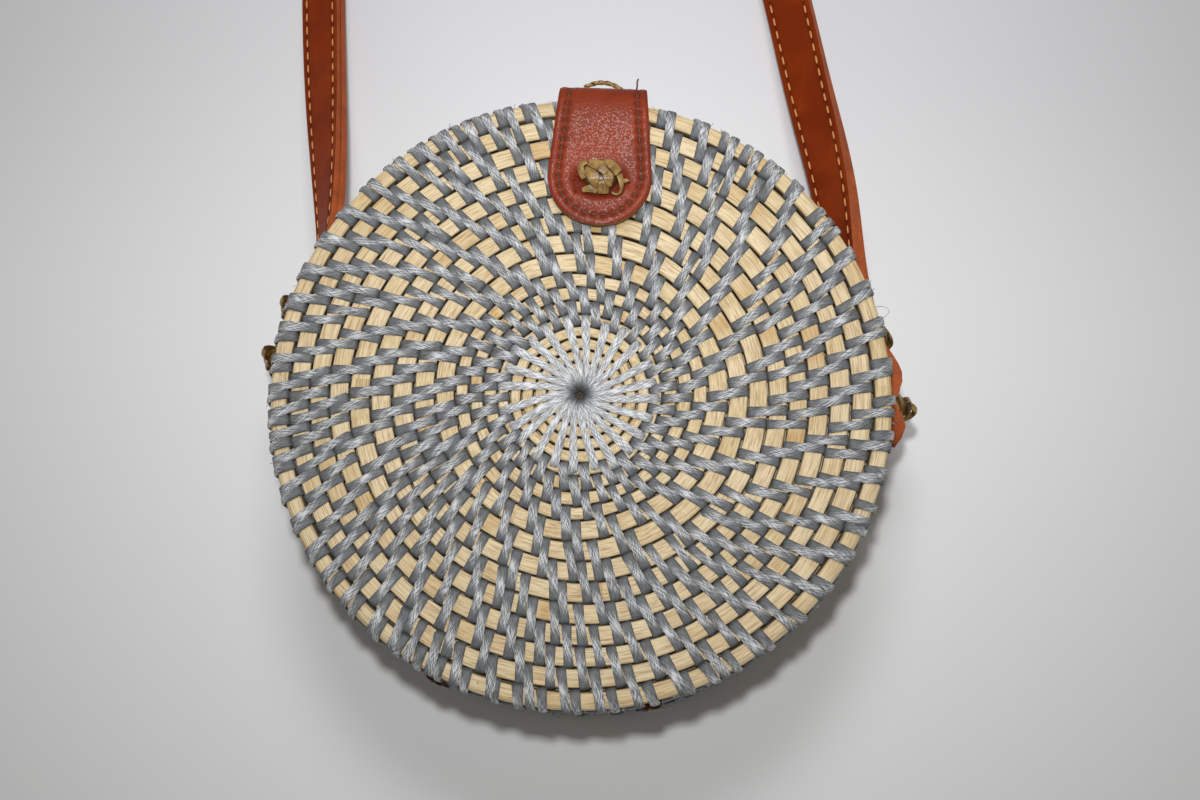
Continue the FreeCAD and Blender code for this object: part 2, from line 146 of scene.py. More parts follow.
class Shader:
    """Nodes of one material or of the world."""

    def __init__(self, owner: "bpy.types.Material | bpy.types.World") -> None:
        """Start with no nodes in the given material or world.

        Args:
            owner: the material or the world.
        """
        self.owner = owner
        owner.use_nodes = True
        self.tree = owner.node_tree
        self.tree.nodes.clear()

    @classmethod
    def named(cls, name: str) -> "Shader":
        """Start a new material of that name."""
        return cls(bpy.data.materials.new(name))

    def node(self, kind: str, settings: dict | None = None, inputs: dict | None = None) -> bpy.types.Node:
        """Add a node.

        Args:
            kind: node type, such as "ShaderNodeMath".
            settings: properties of the node, set first; "stops" are a colour ramp's stops.
            inputs: values or links by socket name or number.

        Returns:
            The new node.
        """
        made = self.tree.nodes.new(kind)
        for key, value in (settings or {}).items():
            if key == "stops":
                self._set_stops(made.color_ramp, value)
            else:
                setattr(made, key, value)
        for key, value in (inputs or {}).items():
            self._feed(made.inputs[key], value)
        return made

    def _set_stops(self, ramp: bpy.types.ColorRamp, stops: list[tuple[float, str]]) -> None:
        """Give a colour ramp its stops.

        Args:
            ramp: the colour ramp.
            stops: place and colour code of each stop.
        """
        while len(ramp.elements) < len(stops):
            ramp.elements.new(1.0)
        for element, (place, colour) in zip(ramp.elements, stops):
            element.position = place
            element.color = linear(colour)

    def _feed(self, socket: bpy.types.NodeSocket, value: object) -> None:
        """Link a value to a socket, or set the socket's own number or colour code.

        Args:
            socket: input of a node.
            value: a value, an output, a number or a colour code.
        """
        if isinstance(value, Value):
            self.tree.links.new(value.socket, socket)
        elif isinstance(value, bpy.types.NodeSocket):
            self.tree.links.new(value, socket)
        else:
            socket.default_value = linear(value) if isinstance(value, str) else value

    def maths(self, operation: str, first: "Value | float", second: "Value | float" = 0.0) -> Value:
        """Add a Math node on two numbers."""
        made = self.node("ShaderNodeMath", {"operation": operation}, {0: first, 1: second})
        return Value(self, made.outputs[0])

    def place(self) -> tuple[Value, Value, Value]:
        """Point of the piece in its own frame, in metres.

        Returns:
            Its three parts.
        """
        made = self.node("ShaderNodeTexCoord")
        parts = self.node("ShaderNodeSeparateXYZ", None, {0: made.outputs["Object"]})
        return tuple(Value(self, socket) for socket in parts.outputs)

    def laid(self) -> tuple[Value, Value]:
        """Place on a strand: across it and along it, in millimetres.

        Returns:
            The distance across and the distance along.
        """
        made = self.node("ShaderNodeUVMap", {"uv_map": "strand"})
        parts = self.node("ShaderNodeSeparateXYZ", None, {0: made.outputs[0]})
        return Value(self, parts.outputs[0]), Value(self, parts.outputs[1])

    def attribute(self, name: str) -> Value:
        """Number stored on the mesh under that name."""
        made = self.node("ShaderNodeAttribute", {"attribute_name": name})
        return Value(self, made.outputs["Fac"])

    def noise(
        self, parts: "Iterable[Value | float]", scale: float, detail: float = 2.0, rough: float = 0.5
    ) -> Value:
        """Cloudy pattern on three numbers.

        Args:
            parts: the three parts of the place that the pattern reads.
            scale: how many clouds there are to a unit.
            detail: how many finer layers are added.
            rough: how strong the finer layers are.

        Returns:
            A number from 0 to 1.
        """
        vector = self.node("ShaderNodeCombineXYZ", None, dict(enumerate(parts)))
        sockets = {"Vector": vector.outputs[0], "Scale": scale, "Detail": detail, "Roughness": rough}
        return Value(self, self.node("ShaderNodeTexNoise", None, sockets).outputs["Fac"])

    def ramp(self, value: Value, stops: list[tuple[float, str]]) -> bpy.types.NodeSocket:
        """Colour that changes along a number."""
        return self.node("ShaderNodeValToRGB", {"stops": stops}, {0: value}).outputs[0]

    def window(self, value: Value, low: float, high: float) -> Value:
        """Number that rises smoothly from 0 at low to 1 at high.

        Args:
            value: the number.
            low: where the result is 0.
            high: where it is 1, also below low.

        Returns:
            The smooth number.
        """
        settings = {"interpolation_type": "SMOOTHSTEP"}
        made = self.node("ShaderNodeMapRange", settings, {0: value, 1: low, 2: high, 3: 0.0, 4: 1.0})
        return Value(self, made.outputs[0])

    def mix(self, share: "Value | float", first: object, second: object) -> bpy.types.NodeSocket:
        """Colour between two colours."""
        made = self.node("ShaderNodeMix", {"data_type": "RGBA"}, {0: share, 6: first, 7: second})
        return made.outputs[2]

    def bump(self, height: Value, strength: float, depth: float) -> bpy.types.NodeSocket:
        """Surface relief of the given depth in metres."""
        sockets = {"Strength": strength, "Distance": depth, "Height": height}
        return self.node("ShaderNodeBump", None, sockets).outputs[0]

    def surface(self, **sockets: object) -> bpy.types.Material:
        """Close the material with one surface.

        Args:
            sockets: values or links of the surface, with spaces in their names as underscores.

        Returns:
            The finished material.
        """
        named = {key.replace("_", " "): value for key, value in sockets.items()}
        made = self.node("ShaderNodeBsdfPrincipled", None, named)
        self.node("ShaderNodeOutputMaterial", None, {0: made.outputs[0]})
        return self.owner


@dataclass(frozen=True)
class CaneFinish:
    """Split cane: pale, with fine fibres along the coil and some darker lengths, and painted shade in the
    grooves between the rows.
    """

    pale: str = "E3D1AC"
    plain: str = "D5BE92"
    warm: str = "C79C5C"
    brown: str = "9A7444"
    # gap: colour of the painted shade in the grooves between the rows
    gap: str = "2E2113"
    row_pitch: float = 6.6
    fibres_along: float = 11.0
    fibres_across: float = 3000.0
    streaks_along: float = 5.0
    streaks_across: float = 1100.0
    relief: float = 0.3

    def material(self) -> bpy.types.Material:
        """Make the finish.

        Returns:
            The material.
        """
        shader = Shader.named("split_cane")
        x, y, z = shader.place()
        turn = shader.maths("ARCTAN2", y, x)
        radius = (x * x + y * y) ** 0.5
        row = shader.maths("FLOOR", radius / (self.row_pitch * MM))
        level = shader.maths("FLOOR", z / (self.row_pitch * MM))
        length = shader.noise((turn * 2.6, row * 3.7, level * 5.3), 1.0, 2.0, 0.6)
        fine, wide = self.fibres_across, self.streaks_across
        fibre = shader.noise((turn * self.fibres_along, radius * fine, z * fine), 1.0, 3.0, 0.65)
        streak = shader.noise((turn * self.streaks_along, radius * wide, z * wide), 1.0, 2.0, 0.5)
        stops = [(0.0, self.brown), (0.26, self.warm), (0.37, self.plain), (0.6, self.pale), (1.0, self.pale)]
        colour = shader.ramp(length, stops)
        shade = shader.window(fibre, 0.54, 0.36) * 0.55 + shader.window(streak, 0.54, 0.36) * 0.25
        colour = shader.mix(shade, colour, self.brown)
        # painted shade: the deeper a point lies below the outside, the nearer it turns to the gap colour
        sunk = shader.window(shader.attribute("sunk"), 0.1, 0.6)
        colour = shader.mix(sunk * 0.9, colour, self.gap)
        relief = shader.bump(fibre * 0.7 + streak * 0.3, 0.5, self.relief * MM)
        return shader.surface(Base_Color=colour, Roughness=0.55, Normal=relief, Specular_IOR_Level=0.25)


@dataclass(frozen=True)
class BindingFinish:
    """Grey fibre strip of many fine, shiny, twisted fibres, with a painted highlight across its middle and
    painted shade at its sides and at the ends where it dives between the rows.
    """

    # bright: colour of the painted highlight
    bright: str = "E4E6E9"
    plain: str = "6A6C6E"
    # dark: colour of the darker fibres, and of the painted shade at the sides and ends
    dark: str = "363636"
    # length and lean set the size and slant of the painted highlight band
    length: float = 13.0
    lean: float = 0.7
    fibres_across: float = 2.5
    fibres_aslant: float = 1.05
    relief: float = 0.25

    def material(self) -> bpy.types.Material:
        """Make the finish.

        Returns:
            The material.
        """
        shader = Shader.named("grey_fibre")
        across, along = shader.laid()
        span = shader.attribute("span")
        ray = shader.attribute("ray")
        shift = (shader.noise((along * 0.03, 5.0, 0.0), 1.0, 0.0) - 0.5) * 4.0
        reach = (span - 0.5) * self.length + shift
        level, aslant = across * self.fibres_across, along * self.fibres_aslant
        fibre = shader.noise((level - aslant, along * 0.2, 0.0), 1.0, 2.0, 0.65)
        other = shader.noise((level + aslant, along * 0.2, 9.0), 1.0, 2.0, 0.65)
        lines = fibre * 0.55 + other * 0.45
        fine = shader.window(lines, 0.45, 0.58)
        # painted highlight: a bright slanting band across the middle of each strip and along each ray
        lit = abs(reach - across * self.lean)
        painted_highlight_band = shader.window(lit, 4.6, 0.6) * shader.window(abs(reach), 6.0, 3.2)
        ray_painted_highlight = shader.window(span, 0.08, 0.24) * shader.window(span, 1.0, 0.84)
        painted_highlight_band = painted_highlight_band * (1.0 - ray) + ray_painted_highlight * ray
        painted_highlight = painted_highlight_band * (0.08 + ray * 0.17 + fine * 0.7)
        # painted shade: darker towards each strip's sides and at its ends, where it dives between the rows
        edge = shader.window(abs(across), 1.2, 1.75)
        low = shader.window(abs(span - 0.5), 0.38, 0.5)
        colour = shader.mix(shader.window(lines, 0.58, 0.4) * 0.6, self.plain, self.dark)
        colour = shader.mix(shader.maths("MAXIMUM", edge * 0.5, low * 0.8), colour, self.dark)
        colour = shader.mix(painted_highlight, colour, self.bright)
        relief = shader.bump(lines, 0.7, self.relief * MM)
        rough = 0.5 - painted_highlight * 0.16
        return shader.surface(Base_Color=colour, Roughness=rough, Normal=relief, Specular_IOR_Level=0.3)


@dataclass(frozen=True)
class LeatherFinish:
    """Red-brown leather with a fine grain and a soft sheen, smooth where it is pressed in, where painted
    shade darkens it.
    """

    name: str
    base: str
    deep: str
    # pressed: colour of the painted shade in the pressed-in hollows
    pressed: str
    gloss: float
    rough: float
    speck: float = 0.1
    grain: float = 1750.0
    relief: float = 0.14
    clouds: float = 55.0
    creases: float = 620.0

    def material(self) -> bpy.types.Material:
        """Make the finish.

        Returns:
            The material.
        """
        shader = Shader.named(self.name)
        x, y, z = place = shader.place()
        cloud = shader.noise(place, self.clouds, 3.0, 0.6)
        pebble = shader.noise((x, y, z + x * 0.37 + y * 0.53), self.grain, 2.0, 0.55)
        crease = shader.noise(place, self.creases, 3.0, 0.6)
        colour = shader.mix(shader.window(cloud, 0.35, 0.7), self.deep, self.base)
        colour = shader.mix(shader.window(pebble, 0.55, 0.3) * 0.3, colour, self.deep)
        # painted shade: the hollows along the seams, the edges and round the knot take the darker pressed
        # colour
        pressed = shader.attribute("pressed")
        colour = shader.mix(pressed, colour, self.pressed)
        relief = shader.bump(pebble * 0.75 + crease * 0.25, 0.35, self.relief * MM)
        rough = self.rough + (0.5 - shader.window(pebble, 0.44, 0.6)) * self.speck + pressed * 0.5
        return shader.surface(
            Base_Color=colour, Roughness=rough, Normal=relief, Specular_IOR_Level=self.gloss
        )


@dataclass(frozen=True)
class CutEdgeFinish:
    """Cut edge of the leather, orange-tan, with fibres that stand out a little."""

    name: str
    base: str
    dark: str
    fibres: float = 1500.0
    patches: float = 130.0
    relief: float = 0.25

    def material(self) -> bpy.types.Material:
        """Make the finish.

        Returns:
            The material.
        """
        shader = Shader.named(self.name)
        place = shader.place()
        fuzz = shader.noise(place, self.fibres, 3.0, 0.7)
        patch = shader.noise(place, self.patches, 2.0, 0.5)
        share = shader.window(fuzz * 0.6 + patch * 0.4, 0.36, 0.62)
        colour = shader.mix(share, self.dark, self.base)
        relief = shader.bump(fuzz, 0.7, self.relief * MM)
        return shader.surface(Base_Color=colour, Roughness=0.78, Normal=relief)


@dataclass(frozen=True)
class ThreadFinish:
    """Sewing thread with its two plies twisted round each other, and painted shade at the ends of each
    stitch, where it goes into its hole.
    """

    name: str
    light: str
    dark: str
    # hole: colour of the painted shade where the thread goes into its hole
    hole: str
    hole_shade_from: float
    relief: float = 0.1

    def material(self) -> bpy.types.Material:
        """Make the finish.

        Returns:
            The material.
        """
        shader = Shader.named(self.name)
        across, along = shader.laid()
        twist = shader.maths("SINE", across * 5.0 + along * 7.0) * 0.5 + 0.5
        fuzz = shader.noise((across * 4.0, along * 2.0, 0.0), 1.0, 2.0, 0.6)
        share = shader.window(twist * 0.7 + fuzz * 0.3, 0.2, 0.7)
        colour = shader.mix(share, self.dark, self.light)
        # painted shade: each stitch darkens towards both ends
        hole = shader.window(abs(shader.attribute("span") - 0.5), self.hole_shade_from, 0.5)
        colour = shader.mix(hole, colour, self.hole)
        relief = shader.bump(twist, 0.5, self.relief * MM)
        return shader.surface(Base_Color=colour, Roughness=0.6, Normal=relief)


@dataclass(frozen=True)
class RattanFinish:
    """Folded rattan strand: olive gold, glossy skin with fine lines along it, painted shade at its edges, and
    a near-black gap colour as painted shade on the knot's middle.
    """

    name: str = "folded_rattan"
    light: str = "BA9A5C"
    plain: str = "8C6C36"
    dark: str = "452E10"
    # gap: colour of the painted shade that the knot's middle takes between the strands
    gap: str = "1E1104"
    relief: float = 0.2

    def material(self) -> bpy.types.Material:
        """Make the finish.

        Returns:
            The material.
        """
        shader = Shader.named(self.name)
        across, along = shader.laid()
        lines = shader.noise((across * 3.2, along * 0.22, 0.0), 1.0, 3.0, 0.6)
        patch = shader.noise((across * 0.3, along * 0.35, 4.0), 1.0, 2.0, 0.5)
        stops = [(0.32, self.dark), (0.5, self.plain), (0.68, self.light)]
        colour = shader.ramp(lines * 0.5 + patch * 0.5, stops)
        off = abs(across)
        # painted shade: darker towards each strand's edges, and the gap colour past them, as on the knot's
        # middle
        colour = shader.mix(shader.window(off, 1.2, 1.7) * 0.75, colour, self.dark)
        colour = shader.mix(shader.window(off, 2.0, 3.0), colour, self.gap)
        rough = 0.22 + patch * 0.18
        relief = shader.bump(lines, 0.5, self.relief * MM)
        return shader.surface(Base_Color=colour, Roughness=rough, Normal=relief, Specular_IOR_Level=0.38)


@dataclass(frozen=True)
class ClothFinish:
    """Plain cotton lining cloth with its weave."""

    light: str = "DDD0B4"
    dark: str = "B7A888"
    thread: float = 0.7
    slubs_across: float = 160.0
    slubs_along: float = 900.0
    relief: float = 0.2

    def material(self) -> bpy.types.Material:
        """Make the finish.

        Returns:
            The material.
        """
        shader = Shader.named("cotton_lining")
        x, y, z = shader.place()
        turn = 2.0 * math.pi / (self.thread * MM)
        warp = shader.maths("SINE", (x + z) * turn)
        weft = shader.maths("SINE", (y + z) * turn)
        weave = warp * weft * 0.5 + 0.5
        slubs = (x * self.slubs_across, y * self.slubs_along, z * self.slubs_across)
        slub = shader.noise(slubs, 1.0, 2.0, 0.6)
        colour = shader.mix(weave * 0.6 + slub * 0.4, self.dark, self.light)
        relief = shader.bump(weave, 0.5, self.relief * MM)
        return shader.surface(Base_Color=colour, Roughness=0.9, Normal=relief)


@dataclass(frozen=True)
class BrassFinish:
    """Old brass of the press stud, rubbed bright in places."""

    bright: str = "C9A35A"
    dull: str = "7E5F2C"
    patches: float = 420.0
    scratches: float = 3000.0
    relief: float = 0.05

    def material(self) -> bpy.types.Material:
        """Make the finish.

        Returns:
            The material.
        """
        shader = Shader.named("old_brass")
        place = shader.place()
        wear = shader.noise(place, self.patches, 4.0, 0.65)
        scratch = shader.noise(place, self.scratches, 2.0, 0.5)
        colour = shader.mix(shader.window(wear, 0.35, 0.65), self.dull, self.bright)
        rough = 0.46 - wear * 0.2
        relief = shader.bump(scratch, 0.3, self.relief * MM)
        return shader.surface(Base_Color=colour, Metallic=1.0, Roughness=rough, Normal=relief)


@dataclass(frozen=True)
class TableFinish:
    """Smooth pale table top, a little darker on its far side as painted shade, which keeps pale by a faint
    glow, painted light, where the lamps no longer reach.

    Places are in metres: where the painted shade starts and is full, and where the glow starts and is full.
    """

    light: str = "ECEDEF"
    shade: str = "DEDFE3"
    unlit: str = "000000"
    glow: str = "C4C5C8"
    darker: Pair = (0.02, 0.16)
    lit_y: float = 0.03
    glowing: Pair = (0.25, 0.62)

    def material(self) -> bpy.types.Material:
        """Make the finish.

        Returns:
            The material.
        """
        shader = Shader.named("pale_table")
        x, y, z = shader.place()
        cloud = shader.noise((x, y, z), 2.0, 2.0, 0.5)
        # painted shade: the table turns darker towards its far side
        far = shader.window(y + (cloud - 0.5) * 0.06, *self.darker)
        colour = shader.mix(far, self.light, self.shade)
        ahead = y - self.lit_y
        # painted light: the table glows away from the lamps
        away = shader.window((x * x + ahead * ahead) ** 0.5, *self.glowing)
        glow = shader.mix(away, self.unlit, self.glow)
        return shader.surface(
            Base_Color=colour, Roughness=0.75, Specular_IOR_Level=0.2,
            Emission_Color=glow, Emission_Strength=0.8,
        )


class Bench:
    """Hand tools that several pieces are made with."""

    edge_rounding = 0.45
    edge_angle = 55.0

    @staticmethod
    def clear() -> None:
        """Leave nothing selected."""
        if bpy.context.object is not None and bpy.context.object.mode != "OBJECT":
            bpy.ops.object.mode_set(mode="OBJECT")
        bpy.ops.object.select_all(action="DESELECT")

    @staticmethod
    def activate(obj: bpy.types.Object) -> None:
        """Select one piece alone and make it the active one.

        Args:
            obj: the piece.
        """
        Bench.clear()
        obj.select_set(True)
        bpy.context.view_layer.objects.active = obj

    @staticmethod
    def edit_all(obj: bpy.types.Object) -> None:
        """Open a piece in edit mode with all of it selected.

        Args:
            obj: the piece.
        """
        Bench.activate(obj)
        bpy.ops.object.mode_set(mode="EDIT")
        bpy.ops.mesh.select_all(action="SELECT")

    @staticmethod
    def face_outwards(obj: bpy.types.Object) -> None:
        """Turn every face of a closed piece outwards.

        Args:
            obj: the piece.
        """
        Bench.edit_all(obj)
        bpy.ops.mesh.normals_make_consistent(inside=False)
        bpy.ops.object.mode_set(mode="OBJECT")

    @staticmethod
    def smooth(obj: bpy.types.Object, angle: float = 50.0) -> None:
        """Shade a piece smooth, apart from edges sharper than an angle in degrees."""
        Bench.activate(obj)
        bpy.ops.object.shade_smooth_by_angle(angle=math.radians(angle))

    @staticmethod
    def apply(obj: bpy.types.Object, kind: str, **settings: object) -> None:
        """Add a modifier with its settings and apply it.

        Args:
            obj: the piece.
            kind: type of the modifier.
            settings: properties of the modifier.
        """
        Bench.activate(obj)
        modifier = obj.modifiers.new(kind.lower(), kind)
        for key, value in settings.items():
            setattr(modifier, key, value)
        bpy.ops.object.modifier_apply(modifier=modifier.name)

    @staticmethod
    def join(pieces: list[bpy.types.Object], name: str) -> bpy.types.Object:
        """Join pieces into one under a new name.

        Args:
            pieces: the pieces; the first takes up the others.
            name: the new name.

        Returns:
            The joined piece.
        """
        Bench.activate(pieces[0])
        for piece in pieces[1:]:
            piece.select_set(True)
        bpy.ops.object.join()
        pieces[0].name = name
        return pieces[0]

    @staticmethod
    def move_points(obj: bpy.types.Object, change: Callable[[np.ndarray], np.ndarray]) -> None:
        """Send every point of a piece, in millimetres, through a function.

        Args:
            obj: the piece.
            change: function from points to points.
        """
        points = np.empty(len(obj.data.vertices) * 3)
        obj.data.vertices.foreach_get("co", points)
        moved = change(points.reshape(-1, 3) / MM) * MM
        obj.data.vertices.foreach_set("co", moved.ravel())
        obj.data.update()

    @staticmethod
    def store(mesh: bpy.types.Mesh, name: str, values: np.ndarray) -> None:
        """Store a number at each point of a mesh, for its finish to read."""
        stored = mesh.attributes.new(name, "FLOAT", "POINT")
        stored.data.foreach_set("value", values.astype(np.float32))

    @staticmethod
    def put(name: str, data: bpy.types.ID) -> bpy.types.Object:
        """Put a mesh, a lamp or a camera into the scene.

        Args:
            name: name of the object.
            data: the mesh, lamp or camera.

        Returns:
            The object.
        """
        obj = bpy.data.objects.new(name, data)
        bpy.context.scene.collection.objects.link(obj)
        return obj

    @staticmethod
    def leather_sheet(
        name: str, cells: tuple[int, int], thickness: float, finishes: tuple[bpy.types.Material, ...],
        place: Callable[[np.ndarray], np.ndarray],
        pressed: Callable[[np.ndarray], np.ndarray] | None = None,
    ) -> bpy.types.Object:
        """Make a sheet of leather from a grid.

        Args:
            name: name of the piece.
            cells: how many cells of the grid lie across and along.
            thickness: thickness of the leather, inwards from the placed face.
            finishes: finish of the faces and of the cut edge.
            place: function from grid places, each from -1 to 1, to points of the outer face.
            pressed: function from grid places to how dark the painted shade in the leather's hollows is
                there, 0 to 1.

        Returns:
            The sheet, with its cut edge in the second material slot.
        """
        Bench.clear()
        bpy.ops.mesh.primitive_grid_add(x_subdivisions=cells[0], y_subdivisions=cells[1], size=2.0 * MM)
        sheet = bpy.context.object
        sheet.name = name
        if pressed is not None:
            grid = np.array([point.co[:2] for point in sheet.data.vertices]) / MM
            Bench.store(sheet.data, "pressed", pressed(grid))
        Bench.move_points(sheet, lambda grid: place(grid[:, :2]))
        for finish in finishes:
            sheet.data.materials.append(finish)
        Bench.apply(sheet, "SOLIDIFY", thickness=thickness * MM, offset=-1.0, material_offset_rim=1)
        Bench.apply(
            sheet, "BEVEL", width=min(Bench.edge_rounding, thickness / 3) * MM, segments=3,
            limit_method="ANGLE", angle_limit=math.radians(Bench.edge_angle), material=1,
        )
        Bench.face_outwards(sheet)
        Bench.smooth(sheet)
        return sheet


class Section(Enum):
    """Section of a strand: places across it, in half widths, and above its middle, in thicknesses."""

    BUNDLE = ((-1, -0.2), (-0.72, 0.36), (0, 0.5), (0.72, 0.36), (1, -0.2), (0, -0.5))
    SPLIT = ((-1, -0.5), (-0.96, 0.15), (0, 0.5), (0.96, 0.15), (1, -0.5), (0, -0.5))

    @property
    def places(self) -> np.ndarray:
        """Places of the section as rows of numbers."""
        return np.array(self.value, dtype=float)


class StrandPile:
    """Many strands, strips or stitches that are gathered into one mesh."""

    split_reach = 1.7
    sharp_angle = 60.0

    def __init__(self) -> None:
        """Start an empty pile."""
        self.points: list[np.ndarray] = []
        self.faces: list[tuple[int, ...]] = []
        self.laid: list[np.ndarray] = []
        self.span: list[np.ndarray] = []
        self.ray: list[np.ndarray] = []
        self.count = 0

    def add(self, rings: np.ndarray, across: np.ndarray, along: np.ndarray, ray: float = 0.0) -> None:
        """Add one strand.

        Args:
            rings: points of its sections, by station, place in the section and axis.
            across: how far from its middle line each place of a section lies.
            along: how far along it each station lies.
            ray: one for a ray of the middle.
        """
        stations, places, _ = rings.shape
        first = self.count
        for station in range(stations - 1):
            low = first + station * places
            for place in range(places):
                after = (place + 1) % places
                self.faces.append((low + place, low + after, low + places + after, low + places + place))
        self.faces.append(tuple(range(first + places - 1, first - 1, -1)))
        last = first + (stations - 1) * places
        self.faces.append(tuple(range(last, last + places)))
        self.points.append(rings.reshape(-1, 3))
        self.laid.append(np.stack(np.broadcast_arrays(across[None, :], along[:, None]), -1).reshape(-1, 2))
        share = (along - along[0]) / (along[-1] - along[0])
        self.span.append(np.repeat(share, places))
        self.ray.append(np.full(stations * places, ray))
        self.count += stations * places

    def ribbon(
        self, line: np.ndarray, up: np.ndarray, width: np.ndarray, thick: float, offset: float = 0.0,
        ray: float = 0.0, section: Section = Section.BUNDLE,
    ) -> None:
        """Add a flat strand.

        Args:
            line: points of its middle line.
            up: direction of its face at each point.
            width: its width at each point.
            thick: its thickness.
            offset: start of its length scale, so that no two look alike.
            ray: one for a ray of the middle.
            section: shape of its section; a split strand's lines always fill its width.
        """
        heading = np.gradient(line, axis=0)
        side = unit(np.cross(up, heading))
        normal = unit(np.cross(heading, side))
        places = section.places
        rings = (
            line[:, None]
            + side[:, None] * (places[:, 0][None, :] * width[:, None] / 2)[..., None]
            + normal[:, None] * (places[:, 1] * thick)[None, :, None]
        )
        steps = np.linalg.norm(np.diff(line, axis=0), axis=1)
        along = np.concatenate([[0.0], np.cumsum(steps)]) + offset
        reach = self.split_reach if section is Section.SPLIT else float(width.max()) / 2
        self.add(rings, places[:, 0] * reach, along, ray)

    def piece(self, name: str, material: bpy.types.Material) -> bpy.types.Object:
        """Turn the pile into a piece with that name and finish.

        Args:
            name: name of the piece.
            material: its finish.

        Returns:
            The piece.
        """
        mesh = bpy.data.meshes.new(name)
        mesh.from_pydata((np.concatenate(self.points) * MM).tolist(), [], self.faces)
        places = np.empty(len(mesh.loops), dtype=np.int32)
        mesh.loops.foreach_get("vertex_index", places)
        layer = mesh.uv_layers.new(name="strand")
        layer.data.foreach_set("uv", np.concatenate(self.laid)[places].astype(np.float32).ravel())
        Bench.store(mesh, "span", np.concatenate(self.span))
        Bench.store(mesh, "ray", np.concatenate(self.ray))
        mesh.materials.append(material)
        obj = Bench.put(name, mesh)
        Bench.face_outwards(obj)
        Bench.smooth(obj, self.sharp_angle)
        return obj


def unit(vectors: np.ndarray) -> np.ndarray:
    """Vectors of the same directions and length one."""
    return vectors / np.maximum(np.linalg.norm(vectors, axis=-1, keepdims=True), 1e-9)


def crowd(places: np.ndarray, share: float) -> np.ndarray:
    """Places from -1 to 1 drawn towards both ends, the more so the nearer the share is to one."""
    return np.sin(places * math.pi / 2 * share) / math.sin(math.pi / 2 * share)


def smooth_line(points: np.ndarray, count: int) -> np.ndarray:
    """Points on the natural cubic curve through given points, evenly spread along it.

    Args:
        points: rows of numbers that the curve passes through; the first three are a place.
        count: how many points to return.

    Returns:
        The rows at the new points.
    """
    steps = np.linalg.norm(np.diff(points[:, :3], axis=0), axis=1)
    knots = np.concatenate([[0.0], np.cumsum(steps)])
    size = len(points)
    matrix = np.eye(size)
    right = np.zeros_like(points)
    for row in range(1, size - 1):
        matrix[row, row - 1:row + 2] = steps[row - 1], 2 * (steps[row - 1] + steps[row]), steps[row]
        right[row] = 6 * (
            (points[row + 1] - points[row]) / steps[row] - (points[row] - points[row - 1]) / steps[row - 1]
        )
    bends = np.linalg.solve(matrix, right)
    place = np.linspace(0.0, knots[-1], count)
    at = np.clip(np.searchsorted(knots, place, side="right") - 1, 0, size - 2)
    step = steps[at][:, None]
    before = (place - knots[at])[:, None]
    after = step - before
    return (
        (bends[at] * after ** 3 + bends[at + 1] * before ** 3) / (6 * step)
        + (points[at] / step - bends[at] * step / 6) * after
        + (points[at + 1] / step - bends[at + 1] * step / 6) * before
    )


